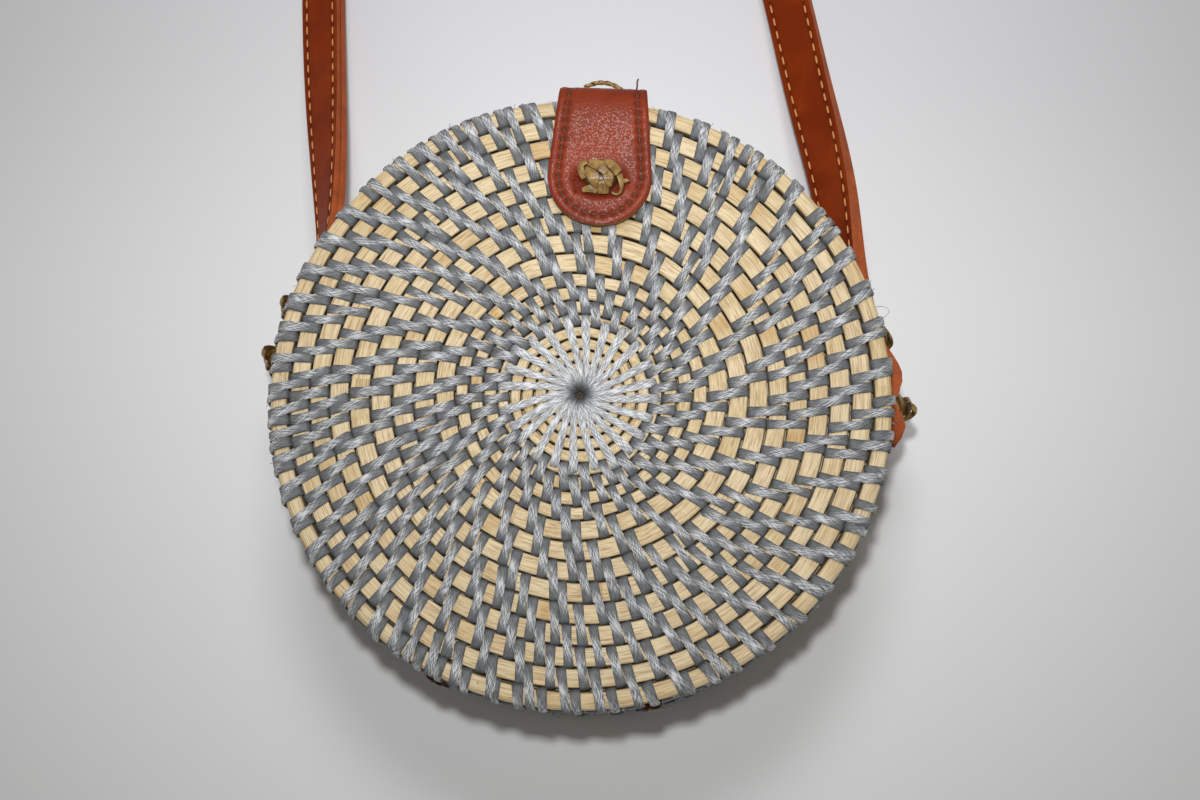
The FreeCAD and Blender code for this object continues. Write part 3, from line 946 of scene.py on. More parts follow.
@dataclass
class CoilWeave:
    """One half of the woven shell: rows of cane bound with slanting strips.

    Heights are counted from the parting plane towards the half's face.
    """

    half: Half
    face_height: float
    wall_rows: int
    hair_feet: Pair
    seed: int
    # Outside of the half
    radius: float = 99.15
    parting_plane: float = 58.0
    parting_gap: float = 0.15
    rim_thickness: float = 5.0
    corner: float = 2.2
    edge: float = 0.9
    tuck: float = 0.5
    # Rows of cane
    cane_thickness: float = 4.1
    hub_rows: tuple[float, ...] = (2.4, 6.5, 10.5, 14.5, 18.5, 22.5)
    hub_radius: float = 26.5
    narrow_rows: int = 3
    narrow_pitch: float = 4.65
    wide_rows: int = 9
    rim_radius: float = 100.0
    row_gap: float = 0.28
    face_steps: int = 144
    hub_steps: int = 72
    row_rounding: float = 0.8
    rim_rounding: float = 1.7
    wall_rounding: float = 0.9
    core_radius: float = 0.05
    core_rounding: float = 0.3
    core_depth_share: float = 0.6
    # Slight waves of the rows: size, number round the ring and, for wavers, distance outwards per radian
    ring_rises: tuple[Pair, ...] = ((0.09, 3), (0.07, 17))
    ring_swings: tuple[Pair, ...] = ((0.06, 5), (0.05, 13))
    wavers: tuple[Point, ...] = ((0.35, 3, 9.0), (0.25, 7, -13.0))
    waver_end: float = 94.0
    waver_end_fade: float = 12.0
    waver_start: float = 8.0
    waver_start_fade: float = 10.0
    # Rays of the middle
    ray_count: int = 24
    ray_start: float = 1.2
    ray_end: Pair = (-0.6, 1.0)
    ray_swirl: float = 0.3
    ray_lift: float = 0.3
    ray_layer: float = 0.35
    ray_arch: float = 0.25
    ray_dive: float = 3.2
    ray_tail: float = 1.6
    ray_bend: float = 0.1
    ray_uneven: float = 0.02
    ray_width: float = 1.5
    ray_widening: float = 1.5
    ray_stations: tuple[float, ...] = (0.0, 0.05, 0.12, 0.25, 0.45, 0.65, 0.82, 0.94, 1.0)
    # Strips
    strip_width: float = 3.45
    strip_thickness: float = 0.55
    strip_pitch: float = 10.0
    strip_lift: float = 0.2
    strip_lift_uneven: float = 0.06
    strip_width_shares: Pair = (0.9, 1.1)
    strip_slant_shares: Pair = (0.5, 1.5)
    strip_end_share: float = 1.05
    strip_waist_share: float = 0.2
    strip_lengths: float = 400.0
    strip_ends: tuple[float, ...] = (0.04, 0.4, 1.2)
    face_shares: tuple[float, ...] = (0.62, 1.0)
    wall_shares: tuple[float, ...] = (0.4, 0.7, 1.0)
    beside: float = 3.15
    uneven: float = 0.32
    give: float = 0.9
    give_share: float = 0.4
    right_share: float = 0.1
    slant: float = 0.2
    arch: float = 0.35
    shoulder: float = 1.1
    bead: float = 1.1
    bead_reach: float = 4.0
    tab_room: float = 13.0
    # Stray fibres, and one that comes back as a loop
    stray: int = 70
    hair: float = 0.17
    hair_foot: float = 0.7
    hair_reach: Pair = (0.8, 2.2)
    hair_sway: float = 1.5
    hair_stations: int = 9
    loop_angle: float = 19.8
    loop_past: float = 2.0
    loop_reach: float = 3.9
    loop_half: float = 2.1

    def build(self) -> None:
        """Make the cane and the binding and put them on their half."""
        cane = self._cane()
        binding = self._binding()
        for piece, slot in ((cane, "cane"), (binding, "binding")):
            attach(piece, self.half.body)
        side = self.half.label
        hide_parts(f"{side}_panel", f"{side}_wall")
        faces = len(cane.data.polygons), len(binding.data.polygons)
        LOG.info("%s: %d faces of cane, %d of binding", side, *faces)

    def _face_edges(self) -> list[float]:
        """Radii of the gaps between the rows on the face, from the hub to the rim row.

        Returns:
            The radii, from the inside outwards.
        """
        narrow = [self.hub_radius + self.narrow_pitch * row for row in range(self.narrow_rows)]
        start = self.hub_radius + self.narrow_pitch * self.narrow_rows
        pitch = (self.rim_radius - start) / self.wide_rows
        return narrow + [start + pitch * row for row in range(self.wide_rows)]

    def _wall_edges(self) -> list[float]:
        """Heights of the gaps between the rows on the wall, from the rim row to the parting line."""
        top = self.face_height + self.rim_radius - self.radius - self.rim_thickness
        return list(np.linspace(top, self.parting_gap, self.wall_rows + 1))

    def _along(self, height: float) -> float:
        """Distance along the outside, from the middle of the face, of a height on the wall."""
        return self.radius - self.corner * (2 - math.pi / 2) + self.face_height - height

    def _outside(self, along: np.ndarray) -> tuple[np.ndarray, ...]:
        """Radius, height and both parts of the normal at distances along the outside.

        Args:
            along: distances from the middle of the face.

        Returns:
            Radius, height, and the normal's parts outwards and upwards.
        """
        flat = self.radius - self.corner
        turn = np.clip((along - flat) / self.corner, 0.0, math.pi / 2)
        down = np.maximum(along - flat - self.corner * math.pi / 2, 0.0)
        wall = self.face_height - self.corner - self.parting_gap - self.edge - self.tuck
        under = np.clip((down - wall) / self.edge, 0.0, math.pi / 2)
        inward = np.maximum(down - wall - self.edge * math.pi / 2, 0.0)
        radius = (
            np.minimum(along, flat) + self.corner * np.sin(turn) - self.edge * (1 - np.cos(under)) - inward
        )
        height = (
            self.face_height - self.corner * (1 - np.cos(turn)) - np.minimum(down, wall)
            - self.edge * np.sin(under)
        )
        lean = turn + under
        return radius, height, np.sin(lean), np.cos(lean)

    def _row(self, low: Pair, high: Pair, rounding: float, rng: random.Random) -> bpy.types.Object:
        """Make one ring of cane.

        Args:
            low: inner radius and lower height of its section.
            high: outer radius and upper height of its section.
            rounding: radius of the section's corners.
            rng: source of the ring's slight wobble.

        Returns:
            The ring.
        """
        middle = ((low[0] + high[0]) / 2 * MM, 0.0, (low[1] + high[1]) / 2 * MM)
        Bench.clear()
        bpy.ops.mesh.primitive_plane_add(size=1.0, location=middle, rotation=(math.pi / 2, 0.0, 0.0))
        ring = bpy.context.object
        Bench.edit_all(ring)
        size = ((high[0] - low[0]) * MM, 1.0, (high[1] - low[1]) * MM)
        bpy.ops.transform.resize(value=size, center_override=middle)
        bpy.ops.mesh.bevel(offset=rounding * MM, segments=3, affect="VERTICES")
        bpy.ops.mesh.delete(type="ONLY_FACE")
        bpy.ops.mesh.select_all(action="SELECT")
        steps = self.face_steps if high[0] > self.hub_radius else self.hub_steps
        bpy.ops.mesh.spin(steps=steps, angle=2 * math.pi, center=(0, 0, 0), axis=(0, 0, 1))
        bpy.ops.mesh.select_all(action="SELECT")
        bpy.ops.mesh.remove_doubles(threshold=1e-6)
        bpy.ops.object.mode_set(mode="OBJECT")
        bpy.ops.object.transform_apply(location=True, rotation=True, scale=True)
        sizes = self.ring_rises + self.ring_swings
        waves = [(size, count, rng.uniform(0, 2 * math.pi)) for size, count in sizes]

        def wobble(points: np.ndarray) -> np.ndarray:
            """Points of the ring with its slight wobble.

            Args:
                points: points of the even ring.

            Returns:
                The moved points.
            """
            turn = np.arctan2(points[:, 1], points[:, 0])
            moves = [size * np.sin(count * turn + phase) for size, count, phase in waves]
            rise = sum(moves[:len(self.ring_rises)])
            out = sum(moves[len(self.ring_rises):])
            scale = 1 + out / np.maximum(np.hypot(points[:, 0], points[:, 1]), 1.0)
            return np.stack([points[:, 0] * scale, points[:, 1] * scale, points[:, 2] + rise], -1)

        Bench.move_points(ring, wobble)
        return ring

    def _cane(self) -> bpy.types.Object:
        """Make all rows of cane of this half.

        Returns:
            The rows as one piece.
        """
        rng = random.Random(self.seed)
        gap = self.row_gap
        top = self.face_height
        under = top - self.cane_thickness
        edges = list(self.hub_rows) + self._face_edges()
        rings = [
            self._row((low + gap, under), (high - gap, top), self.row_rounding, rng)
            for low, high in zip(edges[:-1], edges[1:])
        ]
        core = (self.hub_rows[0], top - self.core_depth_share * self.cane_thickness)
        rings.append(self._row((self.core_radius, under), core, self.core_rounding, rng))
        wall = self._wall_edges()
        rim = (self.radius + self.bead / 2, top)
        rings.append(self._row((edges[-1] + gap, wall[0] + gap), rim, self.rim_rounding, rng))
        inner = self.radius - self.cane_thickness
        rings += [
            self._row((inner, low + gap), (self.radius, high - gap), self.wall_rounding, rng)
            for high, low in zip(wall[:-1], wall[1:])
        ]
        cane = Bench.join(rings, f"{self.half.label}_cane")
        cane.data.materials.append(CANE)
        # depth of each point below the outside, which the cane finish turns into painted shade in the grooves
        points = np.array([point.co for point in cane.data.vertices]) / MM
        sunk = np.minimum(top - points[:, 2], self.radius - np.hypot(points[:, 0], points[:, 1]))
        Bench.store(cane.data, "sunk", sunk)
        Bench.move_points(cane, self._to_bag)
        Bench.face_outwards(cane)
        Bench.smooth(cane)
        return cane

    def _to_bag(self, points: np.ndarray) -> np.ndarray:
        """Points counted from the parting plane, in the bag's frame and with the rows' waver.

        Args:
            points: points, with heights from the parting plane.

        Returns:
            The points, in the bag's frame.
        """
        radius = np.hypot(points[:, 0], points[:, 1])
        turn = np.arctan2(points[:, 1], points[:, 0]) + self.seed
        waver = sum(size * np.sin(count * turn + radius / reach) for size, count, reach in self.wavers)
        fade = np.clip((self.waver_end - radius) / self.waver_end_fade, 0, 1)
        fade = fade * np.clip((radius - self.waver_start) / self.waver_start_fade, 0, 1)
        scale = 1 + waver * fade / np.maximum(radius, 1.0)
        flat = points[:, :2] * scale[:, None]
        return np.column_stack([flat, points[:, 2] * self.half.side + self.parting_plane])

    def _binding(self) -> bpy.types.Object:
        """Make the rays in the middle and all strips that bind the rows.

        Returns:
            The rays, the strips and the stray fibres as one piece.
        """
        rng = random.Random(self.seed + 1)
        pile = StrandPile()
        first_row = self.hub_rows[-1]
        angles = self._rays(pile, rng)
        rows = [first_row] + self._face_edges() + [self._along(height) for height in self._wall_edges()]
        rows[-1] += self.corner
        for start, middle, end in zip(rows[:-2], rows[1:-1], rows[2:]):
            radius = min((start + middle) / 2, self.radius)
            angles = self._beside(angles, self.beside / radius, radius, rng)
            for angle in angles:
                self._strip(pile, rng, (start, middle, end), angle)
            further = min((middle + end) / 2, self.radius)
            angles = [angle + self.slant * (end - start) / 2 / further for angle in angles]
        for _ in range(self.stray):
            angle = rng.uniform(0, 2 * math.pi)
            past = rng.uniform(*self.hair_feet)
            reach = rng.uniform(*self.hair_reach)
            self._hair(pile, past, angle, reach, rng.uniform(-self.hair_sway, self.hair_sway), 0.0)
        self._hair(pile, self.loop_past, math.radians(self.loop_angle), self.loop_reach, 0.0, self.loop_half)
        pile.points = [self._to_bag(points) for points in pile.points]
        return pile.piece(f"{self.half.label}_binding", BINDING)

    def _beside(
        self, angles: list[float], shift: float, radius: float, rng: random.Random
    ) -> list[float]:
        """Angles of the next strips.

        Args:
            angles: angles of the former strips.
            shift: angle from a former strip to the one beside it.
            radius: radius of the row.
            rng: source of small differences.

        Returns:
            One beside each former strip and more in the widest rooms, all giving way to their neighbours.
        """
        whole = 2 * math.pi
        found = sorted(angle + shift + rng.gauss(0.0, self.uneven) / radius for angle in angles)
        while len(found) < round(whole * radius / self.strip_pitch):
            rooms = [after - angle for angle, after in zip(found, found[1:] + [found[0] + whole])]
            needs = [room / (1 + self.right_share * math.cos(angle)) for room, angle in zip(rooms, found)]
            widest = needs.index(max(needs))
            found.insert(widest + 1, found[widest] + rooms[widest] / 2)
        around = [found[-1] - whole] + found + [found[0] + whole]
        give = self.give / radius
        return [
            angle + min(max(self.give_share * ((before + after) / 2 - angle), -give), give)
            for before, angle, after in zip(around, found, around[2:])
        ]

    def _rays(self, pile: StrandPile, rng: random.Random) -> list[float]:
        """Lay the rays of the middle.

        Args:
            pile: pile that takes them.
            rng: source of small differences.

        Returns:
            The angles at which they end.
        """
        angles = []
        shares = np.array(self.ray_stations)
        dive = np.clip(1 - shares / self.ray_bend, 0, 1) ** 1.5
        tail = np.clip((shares - (1 - self.ray_bend)) / self.ray_bend, 0, 1) ** 2
        width = self.ray_width + self.ray_widening * shares ** 0.7
        for ray in range(self.ray_count):
            angle = 2 * math.pi * ray / self.ray_count + rng.gauss(0.0, self.ray_uneven)
            end = self.hub_radius + rng.uniform(*self.ray_end)
            along = self.ray_start + (end - self.ray_start) * shares
            turn = angle - self.ray_swirl * (1 - shares) ** 2
            lift = self.ray_lift + self.ray_layer * (ray % 3) * (1 - shares)
            lift = lift + self.ray_arch * np.sin(math.pi * shares)
            lift = lift - (self.ray_dive * dive + self.ray_tail * tail)
            self._lay(pile, rng, along, turn, lift, width, 1.0)
            angles.append(angle)
        return angles

    def _strip(
        self, pile: StrandPile, rng: random.Random, rows: tuple[float, float, float], angle: float
    ) -> None:
        """Lay one strip over two rows.

        Args:
            pile: pile that takes the strip.
            rng: source of the strip's small differences.
            rows: where the first row starts, where they meet and where the second ends.
            angle: angle of the strip in the middle of its first row.
        """
        start, middle, end = rows
        half = (end - start) / 2
        shares = self.face_shares if end < self.radius - 2 * self.corner else self.wall_shares
        first = np.concatenate([self.strip_ends, np.array(shares) * half])
        from_start = np.concatenate([first, 2 * half - first[-2::-1]])
        along = start + from_start
        radius = np.minimum(along, self.radius)
        slant = self.slant * rng.uniform(*self.strip_slant_shares)
        turn = angle + slant * (along - (start + middle) / 2) / radius
        hump = 1 - (from_start / half - 1) ** 2
        left = np.minimum(from_start, 2 * half - from_start)
        inside = np.clip(self.shoulder - left, 0, self.shoulder)
        fall = self.shoulder - np.sqrt(self.shoulder ** 2 - inside ** 2)
        uneven = rng.uniform(-self.strip_lift_uneven, self.strip_lift_uneven)
        lift = self.strip_lift + self.arch * hump - fall + uneven
        widths = self.strip_width * rng.uniform(*self.strip_width_shares)
        widths = widths * (self.strip_end_share - self.strip_waist_share * hump)
        self._lay(pile, rng, along, turn, lift, widths)

    def _hair(
        self, pile: StrandPile, past: float, angle: float, reach: float, sway: float, loop: float
    ) -> None:
        """Lay one stray fibre that stands out from the strips at the rim.

        Args:
            pile: pile that takes the fibre.
            past: distance of its foot past the rim.
            angle: angle of its foot round the bag.
            reach: how far it stands out.
            sway: how far its end leans aside.
            loop: half the room between its feet if it comes back to the strips, or zero.
        """
        share = np.linspace(0, 1, self.hair_stations)
        radius, height, out, up = (float(part) for part in self._outside(np.array(self.radius + past)))
        foot = np.array([radius * math.cos(angle), radius * math.sin(angle), height])
        normal = np.array([out * math.cos(angle), out * math.sin(angle), up])
        aside = np.array([-math.sin(angle), math.cos(angle), 0.0])
        rise = np.sin(math.pi * share) if loop else share
        lean = loop * np.cos(math.pi * share) + sway * share ** 2
        line = foot + np.outer(self.hair_foot + reach * rise, normal) + np.outer(lean, aside)
        up = np.tile(np.cross(normal, aside), (self.hair_stations, 1))
        pile.ribbon(line, up, np.full(self.hair_stations, self.hair), self.hair)

    def _lay(
        self, pile: StrandPile, rng: random.Random, along: np.ndarray, turn: np.ndarray,
        lift: np.ndarray, width: np.ndarray, ray: float = 0.0,
    ) -> None:
        """Lay a strip on the outside.

        Args:
            pile: pile that takes the strip.
            rng: source of the strip's small differences.
            along: distances along the outside.
            turn: angles round the bag.
            lift: heights above the cane.
            width: widths of the strip.
            ray: one for a ray of the middle.
        """
        radius, height, out, up = self._outside(along)
        rim = self.radius + self.corner * (math.pi / 2 - 1)
        clear = 1 - np.exp(-((turn % (2 * math.pi) - math.pi / 2) / math.radians(self.tab_room)) ** 4)
        lift = lift + self.bead * clear * np.exp(-((along - rim) / self.bead_reach) ** 2)
        normal = np.stack([out * np.cos(turn), out * np.sin(turn), up], -1)
        line = np.stack([radius * np.cos(turn), radius * np.sin(turn), height], -1) + normal * lift[:, None]
        pile.ribbon(line, normal, width, self.strip_thickness, rng.uniform(0, self.strip_lengths), ray)


@dataclass
class ClothLining:
    """Cotton cup inside one half of the bag."""

    half: Half
    floor: float
    rim: float
    radius: float = 94.6
    thickness: float = 0.6
    points: int = 128
    insets: Pair = (3.0, 30.0)
    wall_steps: int = 4
    cutting_share: float = 1.3
    sharp_angle: float = 40.0

    def build(self) -> None:
        """Make the cup from a disc whose edge is drawn up to the rim."""
        side = self.half.label
        Bench.clear()
        bpy.ops.mesh.primitive_circle_add(
            vertices=self.points, radius=self.radius * MM, fill_type="NGON", location=(0, 0, self.floor * MM)
        )
        cup = bpy.context.object
        cup.name = f"{side}_cloth"
        Bench.edit_all(cup)
        for inset in self.insets:
            bpy.ops.mesh.inset(thickness=inset * MM)
        bpy.ops.mesh.poke()
        bpy.ops.mesh.select_all(action="SELECT")
        bpy.ops.mesh.region_to_loop()
        step = (self.rim - self.floor) / self.wall_steps * MM
        for _ in range(self.wall_steps):
            bpy.ops.mesh.extrude_edges_move(TRANSFORM_OT_translate={"value": (0, 0, step)})
        bpy.ops.mesh.select_all(action="SELECT")
        bpy.ops.mesh.normals_make_consistent(inside=self.half is Half.BACK)
        bpy.ops.object.mode_set(mode="OBJECT")
        bpy.ops.object.transform_apply(location=True, rotation=True, scale=True)
        cup.data.materials.append(LINING)
        Bench.apply(cup, "SOLIDIFY", thickness=self.thickness * MM, offset=-1.0)
        Bench.smooth(cup, self.sharp_angle)
        depth = abs(self.rim - self.floor)
        area = math.pi * self.radius ** 2 + 2 * math.pi * self.radius * depth
        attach(cup, self.half.body)
        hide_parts(f"{side}_lining")
        area * MM * MM
        LOG.info("%s lining: %.0f mm deep", side, depth)


@dataclass
class ClosureTab:
    """Leather tab tied to the front panel and folded over the rim, with its stitches."""

    # Plies and fold
    ply: float = 1.3
    ply_gap: float = 0.1
    bend_radius: float = 2.0
    bend_y: float = 99.8
    bend_z: float = 78.6
    fold_y: float = 104.5
    droop: float = 1.0
    droop_reach: float = 9.0
    # Outline
    flap_bottom: float = 39.0
    flap_corner: float = 6.0
    fold_width: float = 28.6
    widest: float = 34.0
    tip_y: float = 55.3
    lean: float = 1.9
    # Seam and stitches
    seam_start: float = 3.0
    stitch_inset: float = 3.4
    stitch_pitch: float = 3.2
    stitch_lift: tuple[float, ...] = (-0.75, -0.42, -0.28, -0.24, -0.28, -0.42, -0.75)
    stitch_width: tuple[float, ...] = (0.75, 0.9, 0.85, 0.8, 0.85, 0.9, 0.75)
    stitch_thickness: float = 0.45
    stitch_span: Pair = (0.17, 0.83)
    stitch_pull: float = 0.3
    thread_shift: float = 3.7
    seam_step: float = 0.5
    tip_stations: int = 90
    # How deep and how wide the leather is pressed in, and how dark the painted shade in these hollows is
    seam_depth: float = 0.55
    seam_reach: float = 1.1
    rim_depth: float = 0.3
    rim_reach: float = 0.6
    rim_shade: float = 0.5
    knot_y: float = 70.8
    knot_half: Pair = (7.6, 5.4)
    knot_depth: float = 0.6
    knot_shade: float = 0.9
    knot_falloff: float = 4.2
    puncture: Pair = (-7.6, 11.4)
    puncture_depth: float = 0.5
    puncture_reach: float = 0.55
    puncture_stretch: float = 1.6
    # Loose end of the thread
    tail: tuple[Point, ...] = (
        (10.9, 103.7, 79.6), (11.1, 104.7, 80.3), (11.0, 105.9, 80.5), (11.3, 107.3, 80.2),
    )
    tail_stations: int = 9
    tail_width: float = 0.55
    tail_thickness: float = 0.5
    # Grids of the plies, and the line that they would bend about when the flap is lifted, which is not used
    outer_cells: tuple[int, int] = (72, 200)
    inner_cells: tuple[int, int] = (24, 110)
    edge_crowding: float = 0.82
    end_crowding: float = 0.035
    fold_start: Point = (0.0, 96.5, 83.5)
    fold_end: Point = (0.0, 101.5, 77.5)

    def build(self) -> None:
        """Make both plies, the stitches and the loose end of the thread."""
        outer = Bench.leather_sheet(
            "tab_outer_leather", self.outer_cells, self.ply, (TAB_LEATHER, TAB_EDGE),
            lambda grid: self._place(grid, self._outer, True), self._hollow_shade,
        )
        inner = Bench.leather_sheet(
            "tab_inner_leather", self.inner_cells, self.ply, (TAB_LEATHER, TAB_EDGE),
            lambda grid: self._place(grid, self._inner, False),
        )
        stitches = self._stitches()
        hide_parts("tab_front_outer_ply", "tab_flap_outer_ply")
        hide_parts("tab_front_inner_ply", "tab_flap_inner_ply")
        for piece in (outer, inner, stitches):
            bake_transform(piece)
        LOG.info("closure tab: %d stitch points", len(stitches.data.vertices))

    @property
    def _inner(self) -> float:
        """Bend radius of the inner ply's outer face."""
        return self.bend_radius + self.ply

    @property
    def _outer(self) -> float:
        """Bend radius of the outer ply's outer face."""
        return self._inner + self.ply_gap + self.ply

    def _length(self, radius: float) -> float:
        """Length of a ply from the flap's lower end to the rounded tip."""
        return self.bend_z - self.flap_bottom + radius * math.pi / 2 + self.bend_y - self.tip_y

    def _half_width(self, along: np.ndarray, radius: float) -> np.ndarray:
        """Half the width of the tab at distances from the flap's lower end.

        Args:
            along: distances from the flap's lower end.
            radius: bend radius of the face.

        Returns:
            Half the width at each distance.
        """
        half = np.full_like(along, self.fold_width / 2)
        low = np.clip(self.flap_corner - along, 0, self.flap_corner)
        half -= self.flap_corner - np.sqrt(np.maximum(self.flap_corner ** 2 - low ** 2, 0))
        wide = self.widest / 2
        left = self._length(radius) - along
        reach = self.fold_y - self.tip_y - wide
        grow = np.clip((reach + wide - left) / reach, 0, 1)
        half += (wide - self.fold_width / 2) * grow
        tip = np.clip(wide - left, 0, wide)
        return half - wide + np.sqrt(np.maximum(wide ** 2 - tip ** 2, 0))

    def _surface(self, across: np.ndarray, along: np.ndarray, radius: float, lift: np.ndarray) -> np.ndarray:
        """Points of the tab's face.

        Args:
            across: distance from its middle line.
            along: distance from the flap's lower end.
            radius: bend radius of the face.
            lift: height above the face.

        Returns:
            The points, in the bag's frame.
        """
        wall = self.bend_z - self.flap_bottom
        turn = np.clip((along - wall) / radius, 0, math.pi / 2)
        front = np.maximum(along - wall - radius * math.pi / 2, 0)
        y = self.bend_y + (radius + lift) * np.cos(turn) - front
        z = self.bend_z - np.maximum(wall - along, 0) + (radius + lift) * np.sin(turn)
        past = np.clip(1 + (y - self.bend_y) / self.droop_reach, 0, None)
        z = z - self.droop * past ** 2 * np.clip(along / wall, 0, 1)
        angle = math.radians(self.lean)
        swing = y - self.fold_y
        x = across * math.cos(angle) - swing * math.sin(angle)
        y = self.fold_y + across * math.sin(angle) + swing * math.cos(angle)
        return np.stack([x, y, z], -1)

    def _place(self, grid: np.ndarray, radius: float, dimpled: bool) -> np.ndarray:
        """Points of a ply's outer face for grid places.

        Args:
            grid: grid places, each from -1 to 1.
            radius: bend radius of the face.
            dimpled: whether the seam and the knot press the leather in.

        Returns:
            The points, in the bag's frame.
        """
        across, along, half = self._spread(grid, radius)
        lift = np.zeros_like(along)
        if dimpled:
            seam, rim, knot, hole = self._hollows(across, along, half, radius)
            lift = -self.seam_depth * seam - self.rim_depth * rim
            lift = lift - self.knot_depth * knot - self.puncture_depth * hole
        return self._surface(across, along, radius, lift)

    def _spread(self, grid: np.ndarray, radius: float) -> tuple[np.ndarray, ...]:
        """Across, along and half width of the tab for grid places.

        Args:
            grid: grid places, each from -1 to 1.
            radius: bend radius of the face.

        Returns:
            Distances across and along, and half the width there.
        """
        share = (grid[:, 1] + 1) / 2
        along = self._length(radius) * (share - self.end_crowding * np.sin(2 * math.pi * share))
        half = self._half_width(along, radius)
        return -half * crowd(grid[:, 0], self.edge_crowding), along, half

    def _hollow_shade(self, grid: np.ndarray) -> np.ndarray:
        """How dark the painted shade in the outer ply's hollows is at grid places."""
        seam, rim, knot, hole = self._hollows(*self._spread(grid, self._outer), self._outer)
        return np.clip(seam + self.rim_shade * rim + self.knot_shade * knot + hole, 0, 1)

    def _hollows(
        self, across: np.ndarray, along: np.ndarray, half: np.ndarray, radius: float
    ) -> tuple[np.ndarray, ...]:
        """How deep the outer ply is pressed in, each from 0 to 1.

        Args:
            across: distance from the tab's middle line.
            along: distance from the flap's lower end.
            half: half the tab's width there.
            radius: bend radius of the face.

        Returns:
            The hollows along the seam, at the edge, round the knot and at the puncture beside it.
        """
        wide = self.widest / 2
        left = self._length(radius) - along
        round_end = np.hypot(across, np.maximum(wide - left, 0))
        edge = np.where(left < wide, wide - round_end, half - np.abs(across))
        pull = np.cos(2 * math.pi * (self._seam_run(across, along, radius) / self.stitch_pitch - 0.5))
        pull = 1 - self.stitch_pull + self.stitch_pull * pull
        seam = np.exp(-((edge - self.stitch_inset) / self.seam_reach) ** 2) * pull
        rim = np.exp(-(np.maximum(edge, 0) / self.rim_reach) ** 2)
        ring = np.hypot(across / self.knot_half[0], (left - self.knot_y + self.tip_y) / self.knot_half[1])
        knot = np.exp(-(np.maximum(ring - 1, 0) * self.knot_falloff) ** 2)
        away = np.hypot(across - self.puncture[0], (left - self.puncture[1]) / self.puncture_stretch)
        hole = np.exp(-(away / self.puncture_reach) ** 2)
        return seam, rim, knot, hole

    def _seam_run(self, across: np.ndarray, along: np.ndarray, radius: float) -> np.ndarray:
        """Distance along the seam of the place on it that is nearest to each point.

        Args:
            across: distances from the tab's middle line.
            along: distances from the flap's lower end.
            radius: bend radius of the face.

        Returns:
            The distances from the seam's start.
        """
        straight = self._length(radius) - self.widest / 2 - self.seam_start
        reach = self.widest / 2 - self.stitch_inset
        past = along - self.seam_start - straight
        side = np.clip(along - self.seam_start, 0, straight)
        tip = straight + reach * np.arctan2(np.maximum(past, 0), across)
        return np.where(past > 0, tip, np.where(across > 0, side, 2 * straight + reach * math.pi - side))

    def _seam(self, radius: float) -> np.ndarray:
        """Across and along of the seam, up one side, round the tip and down the other.

        Args:
            radius: bend radius of the face.

        Returns:
            One row for each place on the seam.
        """
        length = self._length(radius)
        wide = self.widest / 2
        up = np.arange(self.seam_start, length - wide, self.seam_step)
        side = self._half_width(up, radius) - self.stitch_inset
        turn = np.linspace(0, math.pi, self.tip_stations)[1:-1]
        reach = wide - self.stitch_inset
        tip = np.stack([reach * np.cos(turn), length - wide + reach * np.sin(turn)], -1)
        right = np.stack([side, up], -1)
        return np.concatenate([right, tip, right[::-1] * (-1, 1)])

    def _stitches(self) -> bpy.types.Object:
        """Make the stitches along the seam and the thread's loose end at the fold.

        Returns:
            The stitches and the loose end as one piece.
        """
        pile = StrandPile()
        seam = self._seam(self._outer)
        steps = np.linalg.norm(np.diff(seam, axis=0), axis=1)
        run = np.concatenate([[0.0], np.cumsum(steps)])
        lift = np.array(self.stitch_lift)
        width = np.array(self.stitch_width)
        for stitch in range(int(run[-1] / self.stitch_pitch)):
            places = (stitch + np.linspace(*self.stitch_span, len(lift))) * self.stitch_pitch
            across = np.interp(places, run, seam[:, 0])
            along = np.interp(places, run, seam[:, 1])
            line = self._surface(across, along, self._outer, lift)
            up = self._surface(across, along, self._outer, lift + 1) - line
            pile.ribbon(line, up, width, self.stitch_thickness, stitch * self.thread_shift)
        count = self.tail_stations
        up = np.tile((0.0, 0.0, 1.0), (count, 1))
        tail = smooth_line(np.array(self.tail), count)
        pile.ribbon(tail, up, np.full(count, self.tail_width), self.tail_thickness)
        return pile.piece("tab_stitches", TAB_THREAD)


class Extra(Enum):
    """What a knot has beside its folded strands."""

    NOTHING = "nothing"
    LOOSE_ENDS = "loose ends"
    TWIST = "twisted pair"


